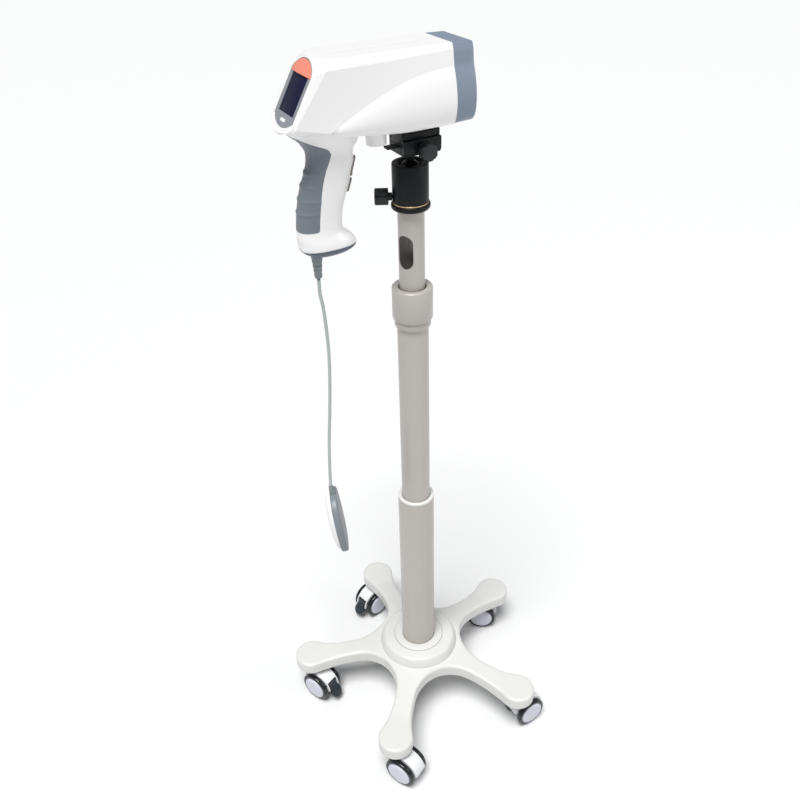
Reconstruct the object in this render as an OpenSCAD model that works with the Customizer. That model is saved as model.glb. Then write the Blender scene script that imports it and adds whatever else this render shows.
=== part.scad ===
/* [Floor stand] */
// Radius of the circle on which the five casters stand
caster_circle_r = 215; // [205:1:235]
// Radius of the round pad at the end of each leg
pad_r = 31.5; // [29:0.5:34]
// Width of a leg at its waist
leg_w = 37; // [34:0.5:42]
// Height of the pads above the floor
pad_top = 100; // [96:1:112]
// Height of a leg's side wall
leg_wall = 24; // [20:1:26]
// Rise of a leg from its pad to the hub
leg_rise = 15; // [10:1:18]
// Radius at which two neighbouring legs meet
web_r = 84; // [80:1:92]
// Wall of the hollow casting
cast_wall = 4; // [3:0.5:5]
// Round of the casting's upper edge
edge_r = 5; // [3:0.5:6]
// Turn of the first leg about the column
leg_turn = 14; // [0:1:71]
// Radius of the hub at its foot
hub_r = 75; // [68:1:78]
// Radius of the hub's flat top
hub_top_r = 67; // [60:1:68]
// Height of the hub's top above the floor
hub_top = 134; // [128:1:140]
// Radius of the trim ring round the column
trim_r = 47; // [42:0.5:50]

/* [Casters] */
// Radius of a wheel over its tyre
wheel_r = 30; // [27:0.5:31]
// Width of one tyre
tyre_w = 11.8; // [10:0.2:13]
// Radius of the pale hub disc
disc_r = 22.5; // [20:0.5:24]
// Width of the hood between the two wheels
hood_w = 27; // [24:0.5:30]
// Distance from the swivel axis to the axle
caster_trail = 21; // [18:0.5:24]
// Radius of the swivel pin
pin_r = 4; // [3:0.25:5]
// Length of the brake pedal from its pivot
pedal_len = 34; // [28:1:36]
// Turns of the casters as they stand
caster_turns = [146, 196, 295, 298, 6];

/* [Column] */
// Radius of the lower tube
lower_r = 31; // [29:0.5:33]
// Wall of the lower tube
lower_wall = 2.5; // [2:0.1:3]
// Height of the lower tube's rim above the floor
lower_rim = 496; // [420:1:540]
// Radius of the middle tube
mid_r = 24; // [22.5:0.5:25]
// Wall of the middle tube
mid_wall = 2; // [1.6:0.1:2.4]
// Length of middle tube that shows
mid_show = 336; // [260:1:360]
// Radius of the top tube
top_r = 19; // [17.5:0.25:19.5]
// Wall of the top tube
top_wall = 1.8; // [1.4:0.1:2]
// Length of top tube that shows
top_show = 119.5; // [115:0.5:140]
// Radius of the clamping collar
collar_r = 30.5; // [29.5:0.5:33]
// Height of the clamping collar
collar_h = 51; // [45:1:60]
// Height of the ferrule under the collar
ferrule_h = 13; // [10:1:16]
// Width of the slot in the top tube
slot_w = 24; // [18:0.5:26]
// Height of the slot in the top tube
slot_h = 51; // [40:1:60]
// Direction in which the slot looks
slot_turn = -150; // [-180:1:180]

/* [Ball head] */
// Radius of the panning base
pan_r = 27.6; // [26:0.1:30]
// Height of the panning base
pan_h = 8.5; // [7:0.5:12]
// Radius of the ball housing
case_r = 25.3; // [24:0.1:27]
// Height of the ball housing
case_h = 53.6; // [52:0.2:56]
// Radius of the ball
ball_r = 18; // [17:0.25:18.5]
// Radius of the stem that leaves the ball
stem_r = 5.5; // [5:0.25:6]
// Radius of the two knobs
knob_r = 11.5; // [9:0.5:13]
// Length of the lock knob's head
knob_len = 19; // [14:1:22]
// Direction of the lock knob
lock_turn = 152; // [120:1:200]
// Length of the plate clamp along the lens axis
clamp_len = 56; // [52:1:60]
// Width of the plate clamp
clamp_w = 44; // [42:1:50]
// Height of the plate clamp
clamp_h = 20; // [18:0.5:22]

/* [Viewing head] */
// Height of the housing from its underside to its top
head_h = 103; // [96:1:112]
// Half width of the housing's flat top
top_half = 36.3; // [33:0.5:40]
// Half width of the housing at its fullest
full_half = 52; // [49:0.5:56]
// Place of the housing's front edge ahead of the column
front_x = 42; // [38:1:50]
// Length of the grey front ring
ring_len = 27.3; // [22:0.5:32]
// Distance from the column to the screen face at the top
rear_top = 139; // [134:1:146]
// Lean of the screen face from upright
face_lean = 26; // [22:1:30]
// Wall of the mouldings
shell = 2.6; // [2:0.1:3]
// Radius of the round board with the lamps
lamp_r = 31; // [28:0.5:33]
// Width of the screen bezel
bezel_w = 67; // [60:0.5:70]
// Length of the screen bezel up the face
bezel_len = 82; // [76:0.5:86]
// Width of the screen
screen_w = 50; // [42:0.5:54]
// Length of the screen up the face
screen_len = 48; // [40:0.5:52]

/* [Handle] */
// Length of the handle below the housing
handle_len = 151; // [140:1:160]
// Depth of the handle from front to back
handle_d = 64; // [58:1:68]
// Width of the handle
handle_w = 41; // [36:1:46]
// Distance from the column to the handle's top
handle_back = 111; // [106:1:116]
// Thickness of the rubber grip
grip_t = 3; // [2:0.25:3.5]
// Stand of the two keys out of the handle
key_stand = 3; // [2.5:0.25:4]
// Width of the keys
key_w = 17; // [12:0.5:20]

/* [Lead and hand switch] */
// Diameter of the lead
cord_d = 5; // [4:0.25:6]
// Length of the strain relief
relief_len = 31; // [24:1:36]
// Length of the hand switch
switch_len = 136; // [120:1:150]
// Width of the hand switch
switch_w = 84; // [70:1:95]
// Thickness of the hand switch's grey base
switch_t = 11; // [9:0.5:14]
// Stand of the white cap out of the base
cap_stand = 11; // [8:0.5:13]
// Lean of the hanging hand switch
switch_lean = 7; // [0:1:10]
// Turn of the hanging hand switch
switch_turn = -21; // [-30:1:0]

/* [Hidden] */
$fn = 64;

// Clearances: over the end of a cut, between bodies, in a running fit, between seated pieces
over = 1;
gap = 0.3;
run = 0.05;
seat = 0.05;

// Colours
white = "#f2f3f2";
grey = "#8d939c";
slate = "#6d7a88";
paint = "#d9d8d2";
black = "#1b1c1e";
steel = "#b9bcc0";

function lerp(a, b, t) = a + (b - a) * t;
function bez(p, t) = pow(1 - t, 3) * p[0] + 3 * pow(1 - t, 2) * t * p[1]
    + 3 * (1 - t) * t * t * p[2] + pow(t, 3) * p[3];
function rim(v, k) = sign(v) * pow(abs(v), k);

// Skin over a stack of rings, each ring turning right-handed about the way the stack grows
function middle(r) = [for (i = [0:len(r) - 1]) 1] * r / len(r);
module loft(rings) {
    n = len(rings[0]);
    m = len(rings);
    faces = [for (i = [0:n - 1]) let (j = (i + 1) % n)
        each concat([[i, j, m * n], [(m - 1) * n + j, (m - 1) * n + i, m * n + 1]],
            [for (k = [0:m - 2]) each [[k * n + i, (k + 1) * n + i, (k + 1) * n + j],
                [k * n + i, (k + 1) * n + j, k * n + j]]])];
    points = concat([for (r = rings) each r], [middle(rings[0]), middle(rings[m - 1])]);
    polyhedron(points, faces, convexity = 8);
}

// Round-cornered rectangle with its middle at the origin
module card(x, y, r) {
    square([x - 2 * r, y], center = true);
    square([x, y - 2 * r], center = true);
    for (sx = [-1, 1]) for (sy = [-1, 1]) translate([sx * (x / 2 - r), sy * (y / 2 - r)]) circle(r);
}

// Ring of one revolve: inner radius, outer radius, bottom, top, round of the outer edges
module turned(r0, r1, z0, z1, e) {
    c = e * round_share;
    rotate_extrude() polygon([[r0, z0], [r1 - e, z0], [r1 - c, z0 + c], [r1, z0 + e],
        [r1, z1 - e], [r1 - c, z1 - c], [r1 - e, z1], [r0, z1]]);
}
round_share = 0.29;

// Star-shaped casting
leg_count = 5;
leg_step = 360 / leg_count;
half_step = leg_step / 2;
waist = leg_w / 2;
neck_fillet = 25;
web_d = (web_r - waist) / (1 - sin(half_step));
web_arc = web_d * sin(half_step) - waist;
neck_x = caster_circle_r - sqrt(pow(pad_r + neck_fillet, 2) - pow(waist + neck_fillet, 2));
neck_turn = 90 - atan2(waist + neck_fillet, caster_circle_r - neck_x);
pad_start = atan2(waist + neck_fillet, neck_x - caster_circle_r);
leg_low = pad_top - leg_wall;
rib_t = 3;
boss_wall = 4;
insert_r = 5.5;
flange_r = 9;
flange_h = 2;

function half_leg(e, n) = concat(
    [for (i = [0:2 * n]) let (a = lerp(180 + half_step, 270, i / (2 * n)))
        web_d * [cos(half_step), sin(half_step)] + (web_arc + e) * [cos(a), sin(a)]],
    [for (i = [0:n]) let (a = 270 + neck_turn * i / n)
        [neck_x, waist + neck_fillet] + (neck_fillet + e) * [cos(a), sin(a)]],
    [for (i = [1:2 * n]) let (a = lerp(pad_start, 0, i / (2 * n)))
        [caster_circle_r, 0] + (pad_r - e) * [cos(a), sin(a)]]);
function leg_top_at(r) = pad_top + leg_rise * min(1, max(0, (neck_x - r) / (neck_x - web_r)));
function star_ring(e, drop, n) = let (h = half_leg(e, n), m = len(h))
    [for (k = [0:leg_count - 1]) for (j = [0:2 * m - 3])
        let (p = j < m ? [h[j][0], -h[j][1]] : h[2 * m - 2 - j], a = leg_turn + k * leg_step,
            q = [p[0] * cos(a) - p[1] * sin(a), p[0] * sin(a) + p[1] * cos(a)])
        [q[0], q[1], leg_top_at(norm(p)) - drop]];

// Solid over star rings, closed by strips from one side of each leg to the other
module star(levels, n) {
    rings = [for (v = levels) star_ring(v[0], v[1], n)];
    c = len(rings[0]);
    m = c / leg_count / 2;
    top = (len(rings) - 1) * c;
    sides = [for (k = [0:len(rings) - 2]) for (i = [0:c - 1]) let (j = (i + 1) % c)
        each [[k * c + i, (k + 1) * c + i, (k + 1) * c + j], [k * c + i, (k + 1) * c + j, k * c + j]]];
    strips = [for (k = [0:leg_count - 1]) for (i = [0:m - 1]) let (a = 2 * m * k + i,
        b = 2 * m * k + i + 1, d = (2 * m * (k + 1) - i) % c, f = 2 * m * (k + 1) - i - 1)
        each (b == f ? [[a, b, d]] : [[a, b, f], [a, f, d]])];
    heart = [for (k = [0:leg_count - 1]) 2 * m * k];
    flip = [for (s = concat(strips, [heart])) [for (i = [len(s) - 1:-1:0]) top + s[i]]];
    polyhedron([for (r = rings) each r], concat(strips, [heart], flip, sides), convexity = 10);
}

function edge_levels(e) = [for (a = [0:30:90]) [e * (1 - cos(a)), e * (1 - sin(a))]];

// Copies once round the legs
module at_legs() for (k = [0:leg_count - 1]) rotate(leg_turn + k * leg_step) children();

hub_wall = 5;
hub_bore = lower_r + seat;
hub_wall_r = hub_bore + hub_wall;
socket_low = 84;
socket_floor = 6;
bolt_r = 5;
bolt_head_r = 9;
bolt_head_h = 6;
trim_sink = 2.5;
trim_stand = 0.8;
foot_z = socket_low + socket_floor;

// Hub: wall round the tube, floor for the bolt, shelf for the trim ring, outer skirt
module hub() {
    skirt = hub_r - cast_wall;
    shelf = hub_top - cast_wall;
    bay = trim_r + 2 * seat + cast_wall;
    rotate_extrude() polygon([[bolt_r + run, socket_low], [hub_wall_r, socket_low],
        [hub_wall_r, shelf - trim_sink], [bay, shelf - trim_sink], [bay, shelf],
        [hub_top_r - cast_wall, shelf], [skirt, leg_top_at(0) - cast_wall / 2],
        [hub_r, leg_top_at(0) - cast_wall / 2], [hub_r, leg_top_at(0) + edge_r / 2],
        [hub_top_r + edge_r * round_share, hub_top - edge_r / 2], [hub_top_r - edge_r / 2, hub_top],
        [trim_r + seat, hub_top], [trim_r + seat, hub_top - trim_sink], [hub_bore, hub_top - trim_sink],
        [hub_bore, foot_z], [bolt_r + run, foot_z]]);
}

// Hollow star with one rib and one pin boss under each leg
module base_casting() color(white) difference() {
    union() {
        difference() {
            star(concat([[0, leg_wall]], edge_levels(edge_r)), 3);
            star([[cast_wall, leg_wall + over], [cast_wall, cast_wall]], 2);
            cylinder(h = hub_top, r = hub_r - 2 * cast_wall);
        }
        hub();
        at_legs() {
            translate([caster_circle_r, 0, leg_low])
                cylinder(h = leg_wall - cast_wall / 2, r = insert_r + boss_wall);
            translate([0, rib_t / 2, 0]) rotate([90, 0, 0]) linear_extrude(rib_t) polygon([
                [hub_wall_r - over, leg_low + leg_rise + cast_wall],
                [web_r, leg_low + leg_rise + cast_wall],
                [neck_x, leg_low + cast_wall], [caster_circle_r - insert_r - over, leg_low + cast_wall],
                [caster_circle_r - insert_r - over, pad_top - cast_wall / 2],
                [neck_x, pad_top - cast_wall / 2],
                [web_r, pad_top + leg_rise - cast_wall / 2],
                [hub_wall_r - over, pad_top + leg_rise - cast_wall / 2]]);
        }
    }
    at_legs() translate([caster_circle_r, 0, leg_low - over])
        cylinder(h = pin_root + over, r = insert_r + seat);
    translate([0, 0, foot_z]) cylinder(h = hub_top, r = hub_bore);
}
pin_root = 17;

// Ring that covers the gap round the column
module trim_ring() color(white)
    translate([0, 0, hub_top - trim_sink]) turned(hub_bore, trim_r, 0, trim_sink + trim_stand, trim_stand);

// Bolt from below through the hub's floor into the tube's plug
module column_bolt() color(steel) translate([0, 0, socket_low - bolt_head_h]) {
    cylinder(h = bolt_head_h, r = bolt_head_r, $fn = 6);
    translate([0, 0, bolt_head_h - run]) cylinder(h = bolt_len, r = bolt_r);
}
bolt_len = 28;

// Casters
hood_top = leg_low - flange_h - gap;
arch_t = 3;
arch_r = wheel_r + arch_t;
axle_r = 3;
boss_r = 11;
pin_low = 50;
hood_side = 2;
wheel_gap = 0.7;
wheel_in = hood_w / 2 + wheel_gap;
wheel_out = wheel_in + tyre_w;
hub_boss = 8;
hood_blend = 1.2;
pedal_pin = 2;
pivot_share = [0.76, 0.42];
pivot = [caster_trail + arch_r * pivot_share[0], wheel_r + arch_r * pivot_share[1]];
pedal_t = 5;
pedal_drop = 58;
pedal_w = 25;
pedal_neck_share = 0.8;

// Pins pressed into the legs, each with a flange that stops the hood
module swivel_pins() color(steel) at_legs() translate([caster_circle_r, 0, 0]) {
    translate([0, 0, leg_low]) cylinder(h = pin_root - over, r = insert_r);
    translate([0, 0, leg_low - flange_h]) cylinder(h = flange_h, r = flange_r);
    translate([0, 0, pin_low]) cylinder(h = leg_low - flange_h - pin_low, r = pin_r);
}

// Frame of one caster: swivel axis at the origin, wheels trailing along +X
module at_caster(k) rotate(leg_turn + k * leg_step) translate([caster_circle_r, 0, 0])
    rotate(caster_turns[k] - leg_turn - k * leg_step) children();

// Side view of a hood: an arch over the wheels that joins the swivel boss
module hood_side_view() difference() {
    union() {
        translate([caster_trail, wheel_r]) circle(arch_r);
        polygon([[-boss_r, arch_low_z], [-boss_r, hood_top], [boss_r, hood_top],
            [caster_trail + hub_boss, wheel_r + arch_r - hood_blend], [caster_trail, wheel_r]]);
    }
    polygon([[-2 * arch_r, -arch_r], [-2 * arch_r, arch_low_z], [caster_trail - hub_boss, arch_low_z],
        [caster_trail - hub_boss, wheel_r - hub_boss], [caster_trail + hub_boss, wheel_r - hub_boss],
        [caster_trail + 2 * arch_r, wheel_r + arch_r / 2], [caster_trail + 2 * arch_r, -arch_r]]);
}
arch_low_z = 38;

// Hood with its swivel bore, axle bore and, where braked, room for the pedal
module hood(k, braked = false) color(white) at_caster(k) difference() {
    translate([0, hood_w / 2, 0]) rotate([90, 0, 0]) linear_extrude(hood_w) hood_side_view();
    translate([0, 0, pin_low - over]) cylinder(h = hood_top, r = pin_r + run);
    translate([caster_trail, hood_w, wheel_r]) rotate([90, 0, 0]) cylinder(h = 2 * hood_w, r = axle_r + run);
    if (braked) {
        translate([pivot[0], hood_w, pivot[1]]) rotate([90, 0, 0])
            cylinder(h = 2 * hood_w, r = pedal_pin + run);
        translate([pivot[0], hood_w / 2 - hood_side, pivot[1]]) rotate([90, 0, 0])
            linear_extrude(hood_w - 2 * hood_side) {
                circle(3 * pedal_pin);
                translate([-3 * pedal_pin, -arch_r]) square([arch_r, arch_r + 3 * pedal_pin]);
            }
    }
}

// Axle with a dished disc on either side of the hood
module wheels(k) color("#c9cad6") at_caster(k) translate([caster_trail, 0, wheel_r]) rotate([90, 0, 0]) {
    cylinder(h = 2 * wheel_in + over, r = axle_r, center = true);
    for (s = [0, 1]) mirror([0, 0, s]) rotate_extrude() polygon(concat([[0, wheel_in], [disc_r, wheel_in]],
        [for (d = disc_shares) [disc_r * d[0], wheel_out - dish * d[1]]]));
}
dish = 1;
disc_shares = [[1, 1], [0.92, 0.4], [0.6, 0], [0, -0.3]];

// Tyres seated on the rims of the discs
module tyres(k) color(black) at_caster(k) translate([caster_trail, 0, wheel_r]) rotate([90, 0, 0]) {
    e = tyre_w / 5;
    for (s = [0, 1]) mirror([0, 0, s]) translate([0, 0, wheel_in])
        turned(disc_r + seat, wheel_r, 0, tyre_w, e);
}

// Pedal on a pin through the hood, a round leaf at the end of its neck
module brake_pedal(k) color("#26333a") at_caster(k) translate([pivot[0], 0, pivot[1]])
    rotate([0, pedal_drop, 0]) {
        leaf_r = pedal_w / 2;
        root_w = hood_w - 2 * hood_side - 2 * gap;
        rotate([90, 0, 0]) {
            cylinder(h = root_w, r = 2 * pedal_pin, center = true);
            cylinder(h = hood_w, r = pedal_pin, center = true);
        }
        translate([0, 0, -pedal_t / 2]) linear_extrude(pedal_t) {
            translate([0, -root_w * pedal_neck_share / 2])
                square([pedal_len - leaf_r, root_w * pedal_neck_share]);
            translate([pedal_len - leaf_r, 0]) circle(leaf_r);
        }
    }

// Column
lip_h = 4;
bush_len = 40;
lower_tube_top = lower_rim - lip_h;
lower_in = lower_r - lower_wall;
mid_in = mid_r - mid_wall;
top_in = top_r - top_wall;
mid_low = 280;
glide_h = 34;
glide_lip = 4;
ferrule_z = lower_rim + mid_show;
collar_z = ferrule_z + ferrule_h;
collar_top = collar_z + collar_h;
mid_top = collar_z + collar_h / 3;
top_reach = 245;
top_low = collar_z - top_reach;
column_top = collar_top + top_show;
slot_rise = 33;
slot_z = collar_top + slot_rise + slot_h / 2;
ferrule_t = 3.5;
thread_t = 1.6;
cone_lead = 2;
collar_edge = 1.5;
collar_room = 1.8;
collar_bore = top_r + collar_room;

// Plain tube between two heights
module tube(r0, r1, z0, z1) translate([0, 0, z0]) difference() {
    cylinder(h = z1 - z0, r = r1);
    translate([0, 0, -over]) cylinder(h = z1 - z0 + 2 * over, r = r0);
}

// Fixed outer tube with the threaded plug in its foot
module lower_tube() color(paint) {
    tube(lower_in, lower_r, foot_z, lower_tube_top);
    tube(bolt_r + seat, lower_in, foot_z, foot_z + plug_h);
}
plug_h = 20;

// Bush in the outer tube's rim on which the middle tube slides
module guide_bush() color(white) {
    turned(mid_r + 3 * run, lower_r, lower_tube_top, lower_rim, lip_h / 4);
    tube(mid_r + 3 * run, lower_in - seat, lower_tube_top - bush_len, lower_tube_top);
}

// Middle tube
module mid_tube() color(paint) tube(mid_in, mid_r, mid_low, mid_top);

// Glide on the foot of the middle tube
module mid_glide() color(black) {
    tube(mid_r + seat, lower_in - 2 * run, mid_low, mid_low + glide_h);
    tube(mid_in, lower_in - 2 * run, mid_low - glide_lip, mid_low);
}

// Threaded ferrule on the head of the middle tube
module ferrule() color(paint) {
    turned(mid_r + seat, mid_r + ferrule_t, ferrule_z, collar_z - gap, collar_edge);
    tube(mid_r + seat, mid_r + thread_t, collar_z - gap, mid_top);
}

// Nut whose cone closes the collet when it is turned
module collar() color(paint) {
    e = collar_edge;
    nut_r = mid_r + thread_t + gap;
    cone_z = mid_top + glide_lip + cone_lead;
    rotate_extrude() polygon([[nut_r, collar_z], [collar_r - e, collar_z],
        [collar_r, collar_z + e], [collar_r, collar_top - e], [collar_r - e, collar_top],
        [collar_bore, collar_top], [collar_bore, collar_top - 2 * glide_lip], [nut_r, cone_z]]);
}

// Split collet between the collar's cone and the top tube
module collet() color(black) difference() {
    root = mid_top + glide_lip;
    rotate_extrude() polygon([[top_r + 2 * run, mid_top - glide_h / 2],
        [mid_in - seat, mid_top - glide_h / 2], [mid_in - seat, mid_top], [mid_r, mid_top], [mid_r, root],
        [collar_bore - gap, collar_top - 2 * glide_lip - gap],
        [collar_bore - gap, collar_top - glide_lip], [top_r + 2 * run, collar_top - glide_lip]]);
    translate([0, -over, mid_top - over]) cube([mid_r + over, 2 * over, collar_h]);
}

// Top tube with a cable slot, a plug and the stud for the ball head
module top_tube() color(paint) difference() {
    union() {
        tube(top_in, top_r, top_low, column_top);
        translate([0, 0, column_top - plug_h]) cylinder(h = plug_h, r = top_in + seat);
        translate([0, 0, column_top - over]) cylinder(h = pan_h - over, r = stud_r);
    }
    rotate(slot_turn) translate([0, 0, slot_z]) rotate([0, 90, 0]) linear_extrude(2 * top_r) {
        square([slot_h - slot_w, slot_w], center = true);
        for (s = [-1, 1]) translate([s * (slot_h - slot_w) / 2, 0]) circle(slot_w / 2);
    }
}
stud_r = 4.7;

// Glide on the foot of the top tube
module top_glide() color(black) {
    tube(top_r + seat, mid_in - 2 * run, top_low, top_low + glide_h);
    tube(top_in, mid_in - 2 * run, top_low - glide_lip, top_low);
}

// Ball head
index_h = 1.6;
index_w = 2;
post_r = 10;
post_h = 2;
pan_edge = 2.5;
case_z = column_top + pan_h + index_h + gap;
ball_rise = 38.6;
ball_z = case_z + ball_rise;
ball_run = 0.12;
chamber_r = 20.5;
chamber_low = 6;
mouth_share = 0.845;
mouth_edge = 1;
case_edge = 1.5;
lead_in = 4.5;
screw_r = 3.2;
lock_rise = 6;
neck_r = 5.5;
neck_len = 5;
lobe_r = 3;
seat_low = ball_rise - 21.5;
seat_rim = ball_rise - 6.5;
clamp_rise = 29.5;
clamp_z = ball_z + clamp_rise;
clamp_shift = 8;
plate_h = 9;
pad_h = 8;
sole_low = 4;
head_z = clamp_z + clamp_h + plate_h + pad_h - sole_low;

// Fixed foot of the ball head with the post on which it pans
module pan_base() color(black) difference() {
    union() {
        translate([0, 0, column_top]) turned(0, pan_r, 0, pan_h, pan_edge);
        translate([0, 0, column_top + pan_h - over])
            cylinder(h = over + index_h + gap + post_h, r = post_r - run);
    }
    translate([0, 0, column_top - over]) cylinder(h = pan_h, r = stud_r + seat);
}

// Thin ring between the foot and the turning case
module index_ring() color("#c9a46a")
    tube(case_r - index_w, case_r + seat, column_top + pan_h, column_top + pan_h + index_h);

// Turning case: a ball socket above a chamber, bored at the side for the lock screw
module ball_housing() color(black) difference() {
    ball_bore = ball_r + ball_run;
    mouth = ball_r * mouth_share;
    lip_a = acos(mouth / ball_bore);
    translate([0, 0, case_z]) rotate_extrude() polygon(concat(
        [[post_r, 0], [case_r - case_edge, 0], [case_r, case_edge], [case_r, case_h - case_edge],
        [case_r - case_edge, case_h], [mouth + lead_in, case_h],
        [mouth, ball_rise + ball_bore * sin(lip_a) + mouth_edge]],
        [for (k = [6:-1:0]) let (a = lip_a * k / 6) [ball_bore * cos(a), ball_rise + ball_bore * sin(a)]],
        [[chamber_r, ball_rise], [chamber_r, chamber_low], [post_r, chamber_low]]));
    rotate(lock_turn) translate([0, 0, case_z + lock_rise]) rotate([0, 90, 0])
        cylinder(h = 2 * case_r, r = screw_r + run);
}

// Cup that the lock screw drives up against the ball
module ball_seat() color(steel) translate([0, 0, case_z]) difference() {
    translate([0, 0, seat_low]) cylinder(h = seat_rim - seat_low, r = chamber_r - run);
    translate([0, 0, ball_rise]) sphere(r = ball_r + run);
}

// Lobed knob head on a screw, along +Z from the end of its neck
module knob(head_len, screw_len, thread_r) {
    difference() {
        turned(0, knob_r, 0, head_len, case_edge);
        for (a = [0:60:300]) rotate(a) translate([knob_r + lobe_r / 2, 0, -over])
            cylinder(h = head_len + 2 * over, r = lobe_r, $fn = 24);
    }
    translate([0, 0, -neck_len]) cylinder(h = neck_len + over, r = neck_r);
    translate([0, 0, -neck_len - screw_len]) cylinder(h = screw_len + over, r = thread_r);
}

// Knob that locks ball and pan
module lock_knob() color(black) rotate(lock_turn) translate([case_r + gap + neck_len, 0, case_z + lock_rise])
    rotate([0, 90, 0]) knob(knob_len, case_r - screw_r, screw_r);

// Ball
module ball() color(steel) translate([0, 0, ball_z]) sphere(r = ball_r, $fn = 48);

// Cross-section of the dovetail foot, wider at its bottom, grown all round
module dovetail(grow) polygon([[-dovetail_w / 2 - grow, -grow], [dovetail_w / 2 + grow, -grow],
    [dovetail_neck / 2 + grow, dovetail_h], [dovetail_neck / 2 + grow, dovetail_h + over],
    [-dovetail_neck / 2 - grow, dovetail_h + over], [-dovetail_neck / 2 - grow, dovetail_h]]);
dovetail_w = 32;
dovetail_neck = 26;
dovetail_h = 6;
jaw_y = 15;
jaw_low = 2.5;
clamp_edge = 3;
tie_r = 2.5;
tie_z = 7;
wing_len = 16;
wing_t = 3;
wing_w = 12;
flare_h = 5;
flare_r = 18;

// Square along +X, Y across and Z up, from a cross-section in Y and Z
module along_x(x0, x1) translate([x0, 0, 0]) rotate([90, 0, 90]) linear_extrude(x1 - x0) children();

// Stem, flared head and plate clamp in one piece, cupped to the ball, with a lever at its rear
module clamp() color(black) translate([0, 0, ball_z]) difference() {
    x0 = clamp_shift - clamp_len / 2;
    union() {
        cylinder(h = clamp_rise + over, r = stem_r);
        translate([0, 0, clamp_rise - flare_h])
            cylinder(h = flare_h + over, r1 = stem_r, r2 = flare_r);
        translate([clamp_shift, 0, clamp_rise]) linear_extrude(clamp_h) card(clamp_len, clamp_w, clamp_edge);
        translate([x0 - wing_len, -wing_w / 2, clamp_rise + (clamp_h - wing_t) / 2])
            cube([wing_len + clamp_edge, wing_w, wing_t]);
    }
    sphere(r = ball_r + run);
    translate([0, 0, clamp_rise + clamp_h - dovetail_h])
        along_x(x0 - over, x0 + clamp_len + over) dovetail(seat);
    translate([x0 - over, -clamp_w, clamp_rise + jaw_low])
        cube([clamp_len + 2 * over, clamp_w - jaw_y + gap, clamp_h]);
    translate([x0 - over, -clamp_w, clamp_rise + clamp_h - dovetail_h - seat])
        cube([clamp_len + 2 * over, clamp_w, clamp_h]);
    translate([clamp_shift, -clamp_w, clamp_rise + tie_z]) rotate([-90, 0, 0])
        cylinder(h = clamp_w + jaw_y, r = tie_r + run);
}

// Loose jaw that holds one flank of the dovetail
module clamp_jaw() color(black) difference() {
    x0 = clamp_shift - clamp_len / 2;
    translate([x0, -clamp_w / 2, clamp_z + jaw_low + gap])
        cube([clamp_len, clamp_w / 2 - dovetail_neck / 2 - gap, clamp_h - jaw_low - gap]);
    translate([0, 0, clamp_z + clamp_h - dovetail_h])
        along_x(x0 - over, x0 + clamp_len + over) dovetail(gap);
    translate([x0 - over, -jaw_y, clamp_z]) cube([clamp_len + 2 * over, jaw_y, clamp_h - dovetail_h - gap]);
    translate([clamp_shift, -clamp_w, clamp_z + tie_z]) rotate([-90, 0, 0])
        cylinder(h = clamp_w, r = tie_r + run);
}

// Knob whose screw ties the jaw to the clamp
module clamp_knob() color(black) translate([clamp_shift, -clamp_w / 2 - gap - neck_len, clamp_z + tie_z])
    rotate([90, 0, 0]) knob(knob_len * knob_short, clamp_w / 2 + jaw_y - neck_len, tie_r);
knob_short = 0.8;

// Release plate: dovetail foot, plate and pad under the flat of the housing
module release_plate() color(black) {
    x0 = clamp_shift - clamp_len / 2;
    translate([0, 0, clamp_z + clamp_h - dovetail_h]) along_x(x0, x0 + clamp_len) dovetail(0);
    translate([clamp_shift, 0, clamp_z + clamp_h + gap]) linear_extrude(plate_h - gap)
        card(clamp_len, clamp_w - 2 * clamp_edge, clamp_edge);
    translate([clamp_shift, 0, clamp_z + clamp_h + plate_h - over]) linear_extrude(pad_h + over)
        card(clamp_len - 2 * clamp_edge, clamp_w - 4 * clamp_edge, clamp_edge);
}

// Viewing head: sections are half outlines from the top's middle round to the underside's middle
shoulder_share = [1.11, 0.947];
crease_share = 0.738;
crease_power = 2.3;
side_flare = 12.2;
side_tuck = 3;
belly_share = [0.25, 0.6, 1.1, -0.02];
sole_half = 34;
face_lift = 20.5;
lift_share = 0.25;
lift_power = 1.4;
sole_rise = 21;
crease_low_share = 0.03;
face_round = 9;
face_rim = 1.5;
arch_top = 17;
arch_low = 13;
head_len = front_x + rear_top + head_h / 2 * tan(face_lean);
face_len = (head_h - face_lift) / cos(face_lean);
face_half = bezel_w / 2 + face_rim;
bezel_top = (face_len + bezel_len) / 2;
tail_angles = [0, 25, 50, 72, 90];
lead_shares = [0, 0.12, 0.25, 0.38, 0.5, 0.61, 0.71, 0.79, 0.85, 0.9];

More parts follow.
